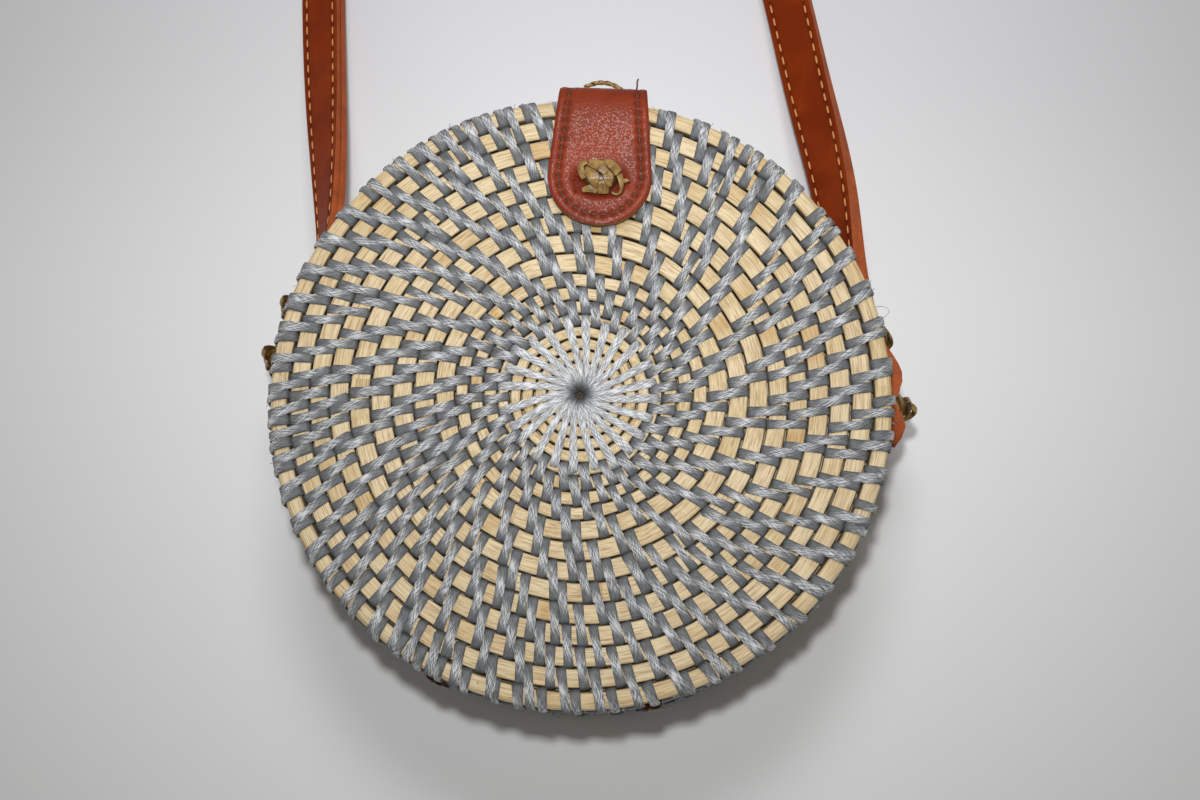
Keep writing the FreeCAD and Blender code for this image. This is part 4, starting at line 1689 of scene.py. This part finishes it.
@dataclass
class RattanKnot:
    """Knot of flat strands folded over each other, on a solid middle.

    The strands' places are given for a knot of the closure's size and scaled to the others.
    """

    name: str
    node: str
    body: str
    origin: Point
    along: Point
    out: Point
    size: Point
    seed: int
    extra: Extra = Extra.NOTHING
    full_size: Point = (15.4, 11.4, 6.4)
    under_twist: float = 0.6
    thick: float = 0.62
    shaded: bool = False
    # Any strand
    stations: int = 13
    uneven: float = 0.12
    lowest: float = 0.05
    flatness: float = 1.6
    upward: float = 0.25
    strand_lengths: float = 90.0
    # Solid middle
    middle_points: int = 14
    middle_levels: tuple[float, ...] = (0.02, 0.25, 0.5, 0.7, 0.82)
    middle_top: float = 0.8
    middle_close: float = 0.86
    middle_reach: float = 0.45
    loose_reach: float = 0.36
    # how far off a strand's middle line the solid middle counts, past the strands' edges, so that it takes
    # the painted shade of the gap colour
    middle_shade_across: float = 2.3
    # Twisted pair
    twist_stations: int = 33
    twist_turns: float = 2.6
    twist_reach: float = 0.47
    twist_shift: float = -1.3
    twist_side: float = -0.14
    twist_radius: float = 0.5
    twist_under: float = 0.8
    twist_sag: float = 2.3
    twist_spread: float = 0.4
    twist_up: float = 0.3
    twist_width: float = 1.2
    twist_thickness: float = 0.7
    # Widths and places of each strand
    strands: tuple[Strand, ...] = (
        ((2.4, 2.6, 2.6), ((-5.3, 1.4, 1.0), (-4.2, 3.0, 1.6), (-2.4, 3.6, 2.2))),
        ((1.6, 2.6, 2.2), ((-5.8, -4.0, 1.0), (-3.6, -3.8, 2.0), (-1.4, -4.5, 1.6))),
        ((2.0, 2.4, 2.4, 2.0), ((-5.2, 0.0, 1.6), (-6.2, 2.2, 2.6), (-6.0, 4.0, 3.0), (-4.5, 4.9, 3.2))),
        ((1.4, 3.2, 4.2, 4.0), ((0.4, -0.6, 3.4), (0.7, -2.2, 3.6), (0.8, -3.8, 2.6), (0.8, -5.0, 1.0))),
        ((2.6, 4.0, 4.4, 3.4), ((-3.7, 4.7, 3.2), (-1.5, 3.8, 4.7), (0.5, 2.4, 5.4), (2.2, 1.0, 5.2))),
        ((2.4, 4.4, 3.6, 1.2), ((-4.8, 2.0, 3.4), (-2.9, 0.4, 4.8), (-2.0, -1.6, 4.6), (-1.6, -3.6, 2.6))),
        ((3.0, 3.8, 3.0, 1.2), ((2.0, 1.4, 4.6), (2.6, -0.2, 5.0), (2.8, -1.6, 4.6), (3.0, -3.4, 3.0))),
        ((1.0, 2.8, 3.4, 3.2), ((0.6, 5.6, 2.8), (2.2, 4.4, 5.0), (4.0, 2.8, 5.8), (5.9, 0.8, 4.6))),
    )
    belt: tuple[Strand, ...] = (
        ((2.4, 2.6, 2.4), ((-4.8, -3.6, 1.6), (-6.3, 0.2, 2.2), (-4.6, 3.8, 1.7))),
        ((2.3, 2.6, 2.4), ((-4.4, 4.0, 1.6), (0.2, 4.9, 2.1), (4.4, 3.8, 1.6))),
        ((2.4, 2.6, 2.4), ((4.6, 3.7, 1.7), (6.3, 0.0, 2.2), (4.7, -3.7, 1.6))),
        ((2.3, 2.6, 2.4), ((4.5, -3.8, 1.6), (0.0, -4.9, 2.1), (-4.5, -3.9, 1.6))),
        ((2.6, 3.0, 2.6), ((-4.6, -2.6, 3.4), (-0.4, -2.9, 4.6), (3.8, -2.2, 3.8))),
    )
    loop: Strand = (
        (2.3, 2.1, 1.6, 1.0, 0.9, 0.8),
        (
            (6.0, 0.7, 3.0), (6.6, -1.2, 3.2), (6.8, -3.5, 2.6),
            (6.5, -5.1, 1.8), (5.3, -5.6, 1.2), (3.5, -4.9, 1.4),
        ),
    )
    point: Strand = (
        (1.5, 1.3, 0.2), ((6.8, -1.5, 1.7), (8.6, -1.0, 1.5), (9.8, -1.1, 1.2)),
    )

    def build(self) -> None:
        """Make the knot and put it on its body."""
        rng = random.Random(self.seed)
        pile = StrandPile()
        scale = np.array(self.size) / self.full_size
        if self.extra is Extra.TWIST:
            scale[2] *= self.under_twist
        self._middle(pile)
        more = (self.loop, self.point) if self.extra is Extra.LOOSE_ENDS else self.belt
        for widths, places in self.strands + more:
            self._strand(pile, np.array(places) * scale, np.array(widths) * scale[:2].mean(), rng)
        if self.extra is Extra.TWIST:
            self._twist(pile, rng)
        piece = pile.piece(self.name, SHADED_RATTAN if self.shaded else RATTAN)
        x_axis = Vector(self.along).normalized()
        z_axis = Vector(self.out).normalized()
        turned = np.array(Matrix((x_axis, z_axis.cross(x_axis), z_axis)).transposed())
        Bench.move_points(piece, lambda points: points @ turned.T + np.array(self.origin))
        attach(piece, self.body)
        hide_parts(self.node)
        LOG.info("knot %s: %.0f mm long", self.name, self.size[0])

    def _middle(self, pile: StrandPile) -> None:
        """Lay the solid middle that the strands fold over, which its finish paints in the gap colour as
        painted shade.

        Args:
            pile: pile that takes it.
        """
        length, width, height = self.size
        turn = np.linspace(0, 2 * math.pi, self.middle_points, endpoint=False)
        levels = np.array(self.middle_levels)
        reach = self.loose_reach if self.extra is Extra.LOOSE_ENDS else self.middle_reach
        reach = reach * np.sqrt(1 - (levels / self.middle_close) ** 2)
        top = self.middle_top * (self.under_twist if self.extra is Extra.TWIST else 1.0)
        rings = np.stack(
            [
                length * reach[:, None] * np.cos(turn),
                width * reach[:, None] * np.sin(turn),
                np.broadcast_to(height * top * levels[:, None], (len(levels), len(turn))),
            ],
            -1,
        )
        pile.add(rings, np.full(len(turn), self.middle_shade_across), height * levels)

    def _strand(self, pile: StrandPile, places: np.ndarray, widths: np.ndarray, rng: random.Random) -> None:
        """Lay one flat strand through given places, facing away from the knot's middle.

        Args:
            pile: pile that takes it.
            places: places that it passes through.
            widths: its width at each place.
            rng: source of small differences.
        """
        length, width, height = self.size
        moves = [[rng.uniform(-self.uneven, self.uneven) for _ in range(3)] for _ in places]
        line = smooth_line(places + moves, self.stations)
        line[:, 2] = np.clip(line[:, 2], self.lowest, height - self.thick / 2)
        up = line / (length ** 2, width ** 2, self.flatness * height ** 2) + (0, 0, self.upward / height)
        shares = np.linspace(0, 1, self.stations)
        breadth = np.interp(shares, np.linspace(0, 1, len(widths)), widths)
        offset = rng.uniform(0, self.strand_lengths)
        pile.ribbon(line, up, breadth, self.thick, offset, section=Section.SPLIT)

    def _twist(self, pile: StrandPile, rng: random.Random) -> None:
        """Lay two strands twisted round each other over the top of the knot.

        Args:
            pile: pile that takes them.
            rng: source of small differences.
        """
        length, width, height = self.size
        share = np.linspace(-1, 1, self.twist_stations)
        breadth = np.full(self.twist_stations, self.twist_width)
        sag = self.twist_under + self.twist_sag * share ** 2
        for start in (0.0, math.pi):
            turn = start + share * self.twist_turns * math.pi
            line = np.stack(
                [
                    share * length * self.twist_reach + self.twist_shift,
                    self.twist_side * width + self.twist_radius * np.cos(turn),
                    height - sag + self.twist_radius * np.sin(turn),
                ],
                -1,
            )
            up = np.stack([share * self.twist_spread, np.cos(turn), np.sin(turn) + self.twist_up], -1)
            pile.ribbon(line, up, breadth, self.twist_thickness, rng.uniform(0, self.strand_lengths))


@dataclass
class LeatherHinge:
    """Leather tab over the parting line at the bottom of the bag."""

    name: str
    angle: float
    inner: float = 99.8
    thickness: float = 1.3
    width: float = 6.4
    length: float = 32.0
    parting: float = 58.0
    rounding: float = 3.0
    bend_reach: float = 6.0
    cells: tuple[int, int] = (18, 44)

    def build(self) -> None:
        """Make the leather over the parting line between the two halves."""
        piece = Bench.leather_sheet(
            self.name + "_leather", self.cells, self.thickness, (SHADED_HINGE_LEATHER, SHADED_HINGE_LEATHER), self._place
        )
        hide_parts(self.name)
        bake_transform(piece)
        LOG.info("%s at %.0f degrees", self.name, self.angle)

    def _place(self, grid: np.ndarray) -> np.ndarray:
        """Points of the leather's outer face for grid places.

        Args:
            grid: grid places, each from -1 to 1.

        Returns:
            The points, in the bag's frame.
        """
        outer = self.inner + self.thickness
        along = grid[:, 1] * self.length / 2
        corner = np.clip(np.abs(along) - (self.length / 2 - self.rounding), 0, self.rounding)
        half = self.width / 2 - self.rounding + np.sqrt(np.maximum(self.rounding ** 2 - corner ** 2, 0))
        turn = math.radians(self.angle) + grid[:, 0] * half / outer
        return np.stack([outer * np.cos(turn), outer * np.sin(turn), self.parting + along], -1)


@dataclass
class ShoulderStrap:
    """Long strap of two sewn plies, from its left end on the wall to its right end."""

    width: float = 17.0
    ply: float = 2.4
    ply_gap: float = 0.1
    height: float = 48.0
    bag_radius: float = 100.0
    reach: float = 455.0
    floor_gap: float = 0.4
    step: float = 2.6
    # Stitches and rounded ends
    stitch_inset: float = 2.2
    stitch_pitch: float = 5.75
    stitch_lift: tuple[float, ...] = (-0.5, -0.05, 0.06, -0.05, -0.5)
    stitch_width: tuple[float, ...] = (0.45, 0.75, 0.8, 0.75, 0.45)
    stitch_thickness: float = 0.5
    stitch_sink: float = 0.22
    stitch_span: Pair = (0.09, 0.91)
    thread_shift: float = 2.9
    end_half: float = 0.6
    end_share: float = 0.995
    # How deep and how wide the leather is pressed in, and how dark the painted shade along the seam is
    seam_depth: float = 0.28
    seam_reach: float = 0.8
    seam_shade: float = 0.7
    rim_depth: float = 0.2
    rim_reach: float = 0.6
    knot_depth: float = 0.8
    knot_reach: float = 4.5
    knot_radius: float = 102.5
    # Grid of the plies, and where the arms would bend when the strap is swung, which is not used
    columns: int = 24
    edge_crowding: float = 0.85
    flex_y: float = 78.0
    flex_z: float = 44.0
    flex_reach: float = 22.0
    # Ends on the wall: angles of the knots, then angle, radius and height of the middle line
    left_knots: Pair = (5.6, 15.4)
    right_knots: Pair = (4.9, 18.4)
    left_seat: tuple[Point, ...] = (
        (-2.5, 102.9, 48.0), (5.6, 102.4, 47.6), (10.4, 103.1, 46.9), (15.4, 102.4, 45.6),
        (21.0, 102.6, 43.6),
    )
    right_seat: tuple[Point, ...] = (
        (-2.0, 103.4, 48.0), (0.9, 105.4, 48.0), (4.9, 102.6, 47.8), (9.4, 105.2, 46.9), (15.5, 102.4, 45.6),
        (21.0, 102.5, 43.6),
    )
    # Rest of the middle line: shares of the bag's radius, the reach and the height, and lean in degrees
    route: tuple[tuple[float, float, float, float], ...] = (
        (-0.945, 0.115, 0.76, 17.0), (-0.972, 0.165, 0.60, 35.0), (-1.058, 0.262, 0.28, 54.0),
        (-1.128, 0.352, 0.06, 60.0), (-1.180, 0.450, 0.00, 54.0), (-1.215, 0.560, 0.00, 34.0),
        (-1.205, 0.670, 0.00, 14.0), (-1.130, 0.780, 0.00, 4.0), (-0.985, 0.880, 0.00, 0.0),
        (-0.760, 0.958, 0.00, 0.0), (-0.460, 1.000, 0.00, 0.0), (-0.140, 0.990, 0.00, 0.0),
        (0.115, 0.938, 0.00, 0.0), (0.270, 0.860, 0.00, -4.0), (0.345, 0.762, 0.00, -16.0),
        (0.395, 0.660, 0.00, -34.0), (0.440, 0.560, 0.00, -52.0), (0.525, 0.468, 0.00, -64.0),
        (0.640, 0.375, 0.08, -66.0), (0.734, 0.289, 0.25, -58.0), (0.836, 0.192, 0.52, -40.0),
        (0.905, 0.115, 0.76, -16.0),
    )
    # Middle line, its two directions, its running length and the knots' places along it, once laid out
    line: np.ndarray = field(init=False, repr=False)
    rise: np.ndarray = field(init=False, repr=False)
    out: np.ndarray = field(init=False, repr=False)
    run: np.ndarray = field(init=False, repr=False)
    tied: list[float] = field(init=False, repr=False)

    def build(self) -> None:
        """Make both plies and their stitches."""
        self._lay_out()
        half = self.ply_gap / 2
        outer = self._ply("strap_outer_leather", half + self.ply)
        inner = self._ply("strap_inner_leather", -half)
        stitches = self._stitches()
        for piece, side in ((outer, "outer"), (inner, "inner")):
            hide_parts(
                f"strap_{side}_ply", f"strap_end_left_{side}_ply", f"strap_end_right_{side}_ply"
            )
        for piece in (outer, inner, stitches):
            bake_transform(piece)
        LOG.info("strap: %.0f mm long", self.run[-1])

    def _wall(self, side: int, seat: Point) -> tuple[float, ...]:
        """Point of the strap's middle line on the wall, upright, from its angle, radius and height."""
        turn = math.radians(seat[0])
        return (side * seat[1] * math.cos(turn), seat[1] * math.sin(turn), seat[2], 0.0)

    def _rest(self, lean: np.ndarray) -> np.ndarray:
        """Height of the middle line where the strap's lower edge lies on the table.

        Args:
            lean: how far the strap leans over, in degrees.

        Returns:
            The heights above the table.
        """
        turn = np.radians(np.abs(lean))
        thick = self.ply * 2 + self.ply_gap
        return (self.width * np.cos(turn) + thick * np.sin(turn)) / 2 + self.floor_gap

    def _lay_out(self) -> None:
        """Work out the middle line with the directions of its width and of its outer face."""
        left = [self._wall(-1, seat) for seat in self.left_seat]
        right = [self._wall(1, seat) for seat in reversed(self.right_seat)]
        middle = []
        for across, along, rise, lean in self.route:
            rest = self._rest(lean)
            height = rest + (self.height - rest) * rise
            middle.append((across * self.bag_radius, along * self.reach, height, lean))
        points = np.array(left + middle + right)
        length = np.linalg.norm(np.diff(points[:, :3], axis=0), axis=1).sum()
        rows = smooth_line(points, int(length / self.step))
        rows[:, 2] = np.maximum(rows[:, 2], self._rest(rows[:, 3]))
        self.line = rows[:, :3]
        heading = unit(np.gradient(self.line, axis=0))
        inward = unit(np.cross(heading, (0.0, 0.0, 1.0)))
        upright = unit(np.cross(inward, heading))
        turn = np.radians(rows[:, 3])[:, None]
        self.rise = upright * np.cos(turn) + inward * np.sin(turn)
        self.out = upright * np.sin(turn) - inward * np.cos(turn)
        steps = np.linalg.norm(np.diff(self.line, axis=0), axis=1)
        self.run = np.concatenate([[0.0], np.cumsum(steps)])
        self.tied = []
        for side, angles in ((-1, self.left_knots), (1, self.right_knots)):
            for angle in angles:
                knot = self._wall(side, (angle, self.knot_radius, self.height))[:2]
                away = np.linalg.norm(self.line[:, :2] - np.array(knot), axis=1)
                self.tied.append(float(self.run[np.argmin(away)]))

    def _at(self, run: np.ndarray, across: np.ndarray, lift: np.ndarray) -> np.ndarray:
        """Points at distances along the strap, across it and outwards from its middle line.

        Args:
            run: distances along the strap.
            across: distances across it.
            lift: distances outwards.

        Returns:
            The points, in the bag's frame.
        """
        def read(rows: np.ndarray) -> np.ndarray:
            """Rows read at the distances."""
            return np.stack([np.interp(run, self.run, rows[:, axis]) for axis in range(3)], -1)

        return read(self.line) + read(self.rise) * across[:, None] + read(self.out) * lift[:, None]

    def _half_width(self, run: np.ndarray) -> np.ndarray:
        """Half the strap's width, which falls off at its rounded ends.

        Args:
            run: distances along the strap.

        Returns:
            Half the width at each distance.
        """
        half = self.width / 2
        near = np.minimum(run, self.run[-1] - run)
        short = np.clip(half - near, 0, half * self.end_share)
        return np.sqrt(half ** 2 - short ** 2)

    def _spread(self, grid: np.ndarray) -> tuple[np.ndarray, ...]:
        """Distances along the strap, across it and from its edge for grid places.

        Args:
            grid: grid places, each from -1 to 1.

        Returns:
            The three distances of each place.
        """
        run = (grid[:, 1] + 1) / 2 * self.run[-1]
        half = self._half_width(run)
        across = half * crowd(grid[:, 0], self.edge_crowding)
        return run, across, half - np.abs(across)

    def _seam(self, edge: np.ndarray) -> np.ndarray:
        """How far the seam presses the ply in, from 0 to 1, at distances from its edge."""
        return np.exp(-((edge - self.stitch_inset) / self.seam_reach) ** 2)

    def _ply(self, name: str, face: float) -> bpy.types.Object:
        """Make one ply.

        Args:
            name: name of the piece.
            face: distance of its outer face from the middle line.

        Returns:
            The ply.
        """
        outward = face > 0

        def place(grid: np.ndarray) -> np.ndarray:
            """Points of the ply's outer face for grid places.

            Args:
                grid: grid places, each from -1 to 1.

            Returns:
                The points, in the bag's frame.
            """
            run, across, edge = self._spread(grid)
            sunk = self.seam_depth * self._seam(edge)
            sunk = sunk + self.rim_depth * np.exp(-(edge / self.rim_reach) ** 2)
            for knot in self.tied:
                sunk = sunk + self.knot_depth * np.exp(-((run - knot) / self.knot_reach) ** 2)
            return self._at(run, across, face - sunk * outward)

        def pressed(grid: np.ndarray) -> np.ndarray:
            """How dark the painted shade along the ply's seams is at grid places."""
            return self.seam_shade * self._seam(self._spread(grid)[2])

        cells = (self.columns, len(self.run))
        return Bench.leather_sheet(name, cells, self.ply, (STRAP_LEATHER, STRAP_EDGE), place, pressed)

    def _stitches(self) -> bpy.types.Object:
        """Make two rows of stitches on each side of the strap.

        Returns:
            The stitches as one piece.
        """
        pile = StrandPile()
        total = self.run[-1]
        face = self.ply + self.ply_gap / 2
        side_at = self.width / 2 - self.stitch_inset
        count = int((total - 2 * self.stitch_inset) / self.stitch_pitch)
        lift = np.array(self.stitch_lift)
        width = np.array(self.stitch_width)
        for stitch in range(count):
            run = (stitch + np.linspace(*self.stitch_span, len(lift))) * self.stitch_pitch + self.stitch_inset
            inside = np.maximum(self._half_width(run) - self.stitch_inset, self.end_half)
            inside = np.minimum(side_at, inside)
            for side in (-1, 1):
                for way in (-1, 1):
                    sunk = -self.stitch_sink if way > 0 else 0.0
                    line = self._at(run, side * inside, way * (face + lift + sunk))
                    up = self._at(run, side * inside, way * (face + lift + sunk + 1)) - line
                    pile.ribbon(line, up, width, self.stitch_thickness, stitch * self.thread_shift)
        return pile.piece("strap_stitches", STRAP_THREAD)


@dataclass
class PressStud:
    """Brass press stud, washer and socket, which keep their own shapes."""

    nodes: tuple[str, ...] = ("snap_stud", "snap_washer", "snap_socket")
    sharp_angle: float = 30.0

    def dress(self) -> None:
        """Give the three pieces their finish."""
        for name in self.nodes:
            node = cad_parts[name]
            node.data.materials.clear()
            node.data.materials.append(BRASS)
            Bench.smooth(node, self.sharp_angle)
        LOG.info("press stud: %d pieces", len(self.nodes))


@dataclass(frozen=True)
class Lamp:
    """Square soft light, with its power in watts and the opening of its light in degrees."""

    name: str
    place: Point
    size: float
    power: float
    aim: Point
    spread: float

    def hang(self) -> None:
        """Hang the lamp, aimed at its point and not seen by the camera."""
        data = bpy.data.lights.new(self.name, "AREA")
        data.shape = "SQUARE"
        data.size = self.size * MM
        data.energy = self.power
        data.spread = math.radians(self.spread)
        lamp = Bench.put(self.name, data)
        lamp.location = Vector(self.place) * MM
        lamp.rotation_euler = (Vector(self.aim) - Vector(self.place)).to_track_quat("-Z", "Y").to_euler()
        lamp.visible_camera = False


@dataclass
class Studio:
    """Table, lamps and camera."""

    table_size: float = 8000.0
    table_drop: float = 0.45
    lamps: tuple[Lamp, ...] = (
        Lamp("key", (6.0, -27.0, 700.0), 30.0, 0.5, (6.0, 100.0, 0.0), 80.0),
        Lamp("window", (-10.0, 360.0, 800.0), 260.0, 0.4, (0.0, 100.0, 80.0), 70.0),
        Lamp("left", (-950.0, -50.0, 400.0), 700.0, 0.6, (0.0, 0.0, 50.0), 180.0),
        Lamp("right", (950.0, -50.0, 400.0), 700.0, 0.6, (0.0, 0.0, 50.0), 180.0),
    )
    lens: float = 50.0
    sensor: float = 36.0
    position: Point = (24.5, -104.8, 601.5)
    roll: float = 4.0
    tilt: float = 11.28
    pan: float = 1.15
    nearest: float = 10.0
    ambient: float = 0.1
    ambient_colour: tuple[float, ...] = (1.0, 0.94, 0.8, 1.0)
    backdrop: str = "DCDDE1"

    def build(self) -> None:
        """Set up the table, the light and the camera."""
        self._table()
        self._world()
        for lamp in self.lamps:
            lamp.hang()
        self._camera()
        bpy.context.scene.view_settings.view_transform = "Standard"

    def _table(self) -> None:
        """Lay the table under the bag."""
        Bench.clear()
        bpy.ops.mesh.primitive_plane_add(size=self.table_size * MM, location=(0, 0, -self.table_drop * MM))
        table = bpy.context.object
        table.name = "table"
        table.data.materials.append(TableFinish().material())

    def _world(self) -> None:
        """Light the scene all round, and show a pale backdrop to the camera and in reflections."""
        world = bpy.data.worlds.new("studio")
        bpy.context.scene.world = world
        shader = Shader(world)
        path = shader.node("ShaderNodeLightPath")
        seen = Value(shader, path.outputs["Is Camera Ray"])
        for kind in ("Is Glossy Ray", "Is Transmission Ray"):
            seen = shader.maths("MAXIMUM", seen, Value(shader, path.outputs[kind]))
        light = shader.node(
            "ShaderNodeBackground", None, {"Color": self.ambient_colour, "Strength": self.ambient}
        )
        shown = shader.node("ShaderNodeBackground", None, {"Color": self.backdrop})
        mix = shader.node("ShaderNodeMixShader", None, {0: seen, 1: light.outputs[0], 2: shown.outputs[0]})
        shader.node("ShaderNodeOutputWorld", None, {0: mix.outputs[0]})

    def _camera(self) -> None:
        """Put the camera where the photograph was taken."""
        data = bpy.data.cameras.new("camera")
        data.lens = self.lens
        data.sensor_width = self.sensor
        data.clip_start = self.nearest * MM
        camera = Bench.put("camera", data)
        turn = (
            Matrix.Rotation(math.radians(self.roll), 4, "Z")
            @ Matrix.Rotation(math.radians(self.tilt), 4, "X")
            @ Matrix.Rotation(math.radians(self.pan), 4, "Y")
        )
        camera.matrix_world = Matrix.Translation(Vector(self.position) * MM) @ turn
        bpy.context.scene.camera = camera


@dataclass(frozen=True)
class KnotPlan:
    """Where the bag's rattan knots sit and how large they are."""

    closure_place: Point = (1.5, 70.8, 82.9)
    closure_lean: float = 4.0
    closure_size: Point = (15.4, 11.4, 6.4)
    tab_place: Point = (0.0, 103.4, 53.5)
    tab_size: Point = (14.0, 11.0, 12.8)
    strap_radius: float = 104.1
    strap_height: float = 48.0
    strap_size: Pair = (13.0, 9.5)
    strap_rises: tuple[Pair, Pair] = ((7.4, 6.8), (8.6, 3.6))
    strap_angles: tuple[Pair, Pair] = (ShoulderStrap.left_knots, ShoulderStrap.right_knots)
    hinge_radius: float = 101.0
    hinge_angles: Pair = (-112.8, -72.8)
    hinge_heights: Pair = (48.5, 67.5)
    hinge_size: Point = (6.2, 6.0, 1.3)
    hinge_thick: float = 0.5
    first_seed: int = 20

    def knots(self) -> list[RattanKnot]:
        """All knots, each where its node is.

        Returns:
            The knots, in the order in which they are made.
        """
        lean = math.radians(self.closure_lean)
        made = [
            RattanKnot(
                "closure_knot_strands", "closure_knot", "front_half", self.closure_place,
                (math.cos(lean), math.sin(lean), 0), (0, 0, 1), self.closure_size, 11, Extra.LOOSE_ENDS,
            ),
            RattanKnot(
                "tab_knot_strands", "tab_knot", "closure_tab", self.tab_place, (1, 0, 0), (0, 1, 0),
                self.tab_size, 12, Extra.TWIST,
            ),
        ]
        for at, (name, side) in enumerate((("left", -1), ("right", 1))):
            for level, angle, rise in zip(("lower", "upper"), self.strap_angles[at], self.strap_rises[at]):
                made.append(self._on_strap(f"strap_knot_{name}_{level}", side, angle, rise, len(made)))
            for half, height in zip((Half.BACK, Half.FRONT), self.hinge_heights):
                node = f"hinge_knot_{name}_{half.label}"
                made.append(self._on_hinge(node, half, self.hinge_angles[at], height, len(made)))
        return made

    def _on_strap(self, node: str, side: int, angle: float, rise: float, number: int) -> RattanKnot:
        """Knot on one of the strap's ends.

        Args:
            node: the node that it replaces.
            side: minus one for the left end, plus one for the right.
            angle: how far up the wall it sits, in degrees.
            rise: how far it stands out.
            number: its number, from which its seed comes.

        Returns:
            The knot.
        """
        turn = math.radians(angle)
        out = (side * math.cos(turn), math.sin(turn), 0.0)
        place = (self.strap_radius * out[0], self.strap_radius * out[1], self.strap_height)
        size = (*self.strap_size, rise)
        seed = self.first_seed + number
        return RattanKnot(node + "_strands", node, Half.BACK.body, place, (0, 0, 1), out, size, seed)

    def _on_hinge(self, node: str, half: Half, angle: float, height: float, number: int) -> RattanKnot:
        """Knot on one of the hinge leathers.

        Args:
            node: the node that it replaces.
            half: the half that it rides on.
            angle: where the leather sits on the wall, in degrees.
            height: height of the knot above the table.
            number: its number, from which its seed comes.

        Returns:
            The knot.
        """
        turn = math.radians(angle)
        out = (math.cos(turn), math.sin(turn), 0.0)
        place = (self.hinge_radius * out[0], self.hinge_radius * out[1], height)
        return RattanKnot(
            node + "_strands", node, half.body, place, (-out[1], out[0], 0), out, self.hinge_size,
            self.first_seed + number, thick=self.hinge_thick, shaded=True,
        )


CANE = CaneFinish().material()
BINDING = BindingFinish().material()
TAB_LEATHER = LeatherFinish(
    "tab_leather", "862F09", "702406", "601903", 0.22, 0.34, speck=0.45, grain=1350.0, relief=0.42
).material()
STRAP_LEATHER = LeatherFinish("strap_leather", "88340B", "742807", "521904", 0.06, 0.5).material()
# darker copy of the leather, with its cut edge in the same colour: painted shade for the hinges under the rim
SHADED_HINGE_LEATHER = LeatherFinish("shaded_hinge_leather", "5E2209", "431605", "2E0E03", 0.06, 0.6).material()
TAB_EDGE = CutEdgeFinish("tab_cut_edge", "8F6730", "54381A").material()
STRAP_EDGE = CutEdgeFinish("strap_cut_edge", "A9501A", "853B10").material()
TAB_THREAD = ThreadFinish("tab_thread", "5A3410", "281305", "1A0902", 0.3).material()
STRAP_THREAD = ThreadFinish("strap_thread", "E0A264", "AE6A30", "5A2408", 0.36).material()
RATTAN = RattanFinish().material()
SHADED_RATTAN = RattanFinish("shaded_rattan", "7A5A2A", "563B18", "2A1A08", "140A02").material()
LINING = ClothFinish().material()
BRASS = BrassFinish().material()


def main() -> None:
    """Build the bag piece by piece and set up the studio."""
    logging.basicConfig(level=logging.INFO, format="%(name)s: %(message)s")
    Studio().build()
    CoilWeave(Half.FRONT, face_height=21.15, wall_rows=3, hair_feet=(-3.0, 4.5), seed=5).build()
    CoilWeave(Half.BACK, face_height=57.15, wall_rows=8, hair_feet=(1.5, 9.0), seed=9).build()
    ClothLining(Half.BACK, floor=5.2, rim=56.5).build()
    ClothLining(Half.FRONT, floor=74.8, rim=59.5).build()
    ClosureTab().build()
    plan = KnotPlan()
    for knot in plan.knots():
        knot.build()
    for name, angle in zip(("hinge_left", "hinge_right"), plan.hinge_angles):
        LeatherHinge(name, angle).build()
    ShoulderStrap().build()
    PressStud().dress()


if __name__ == "__main__":
    main()
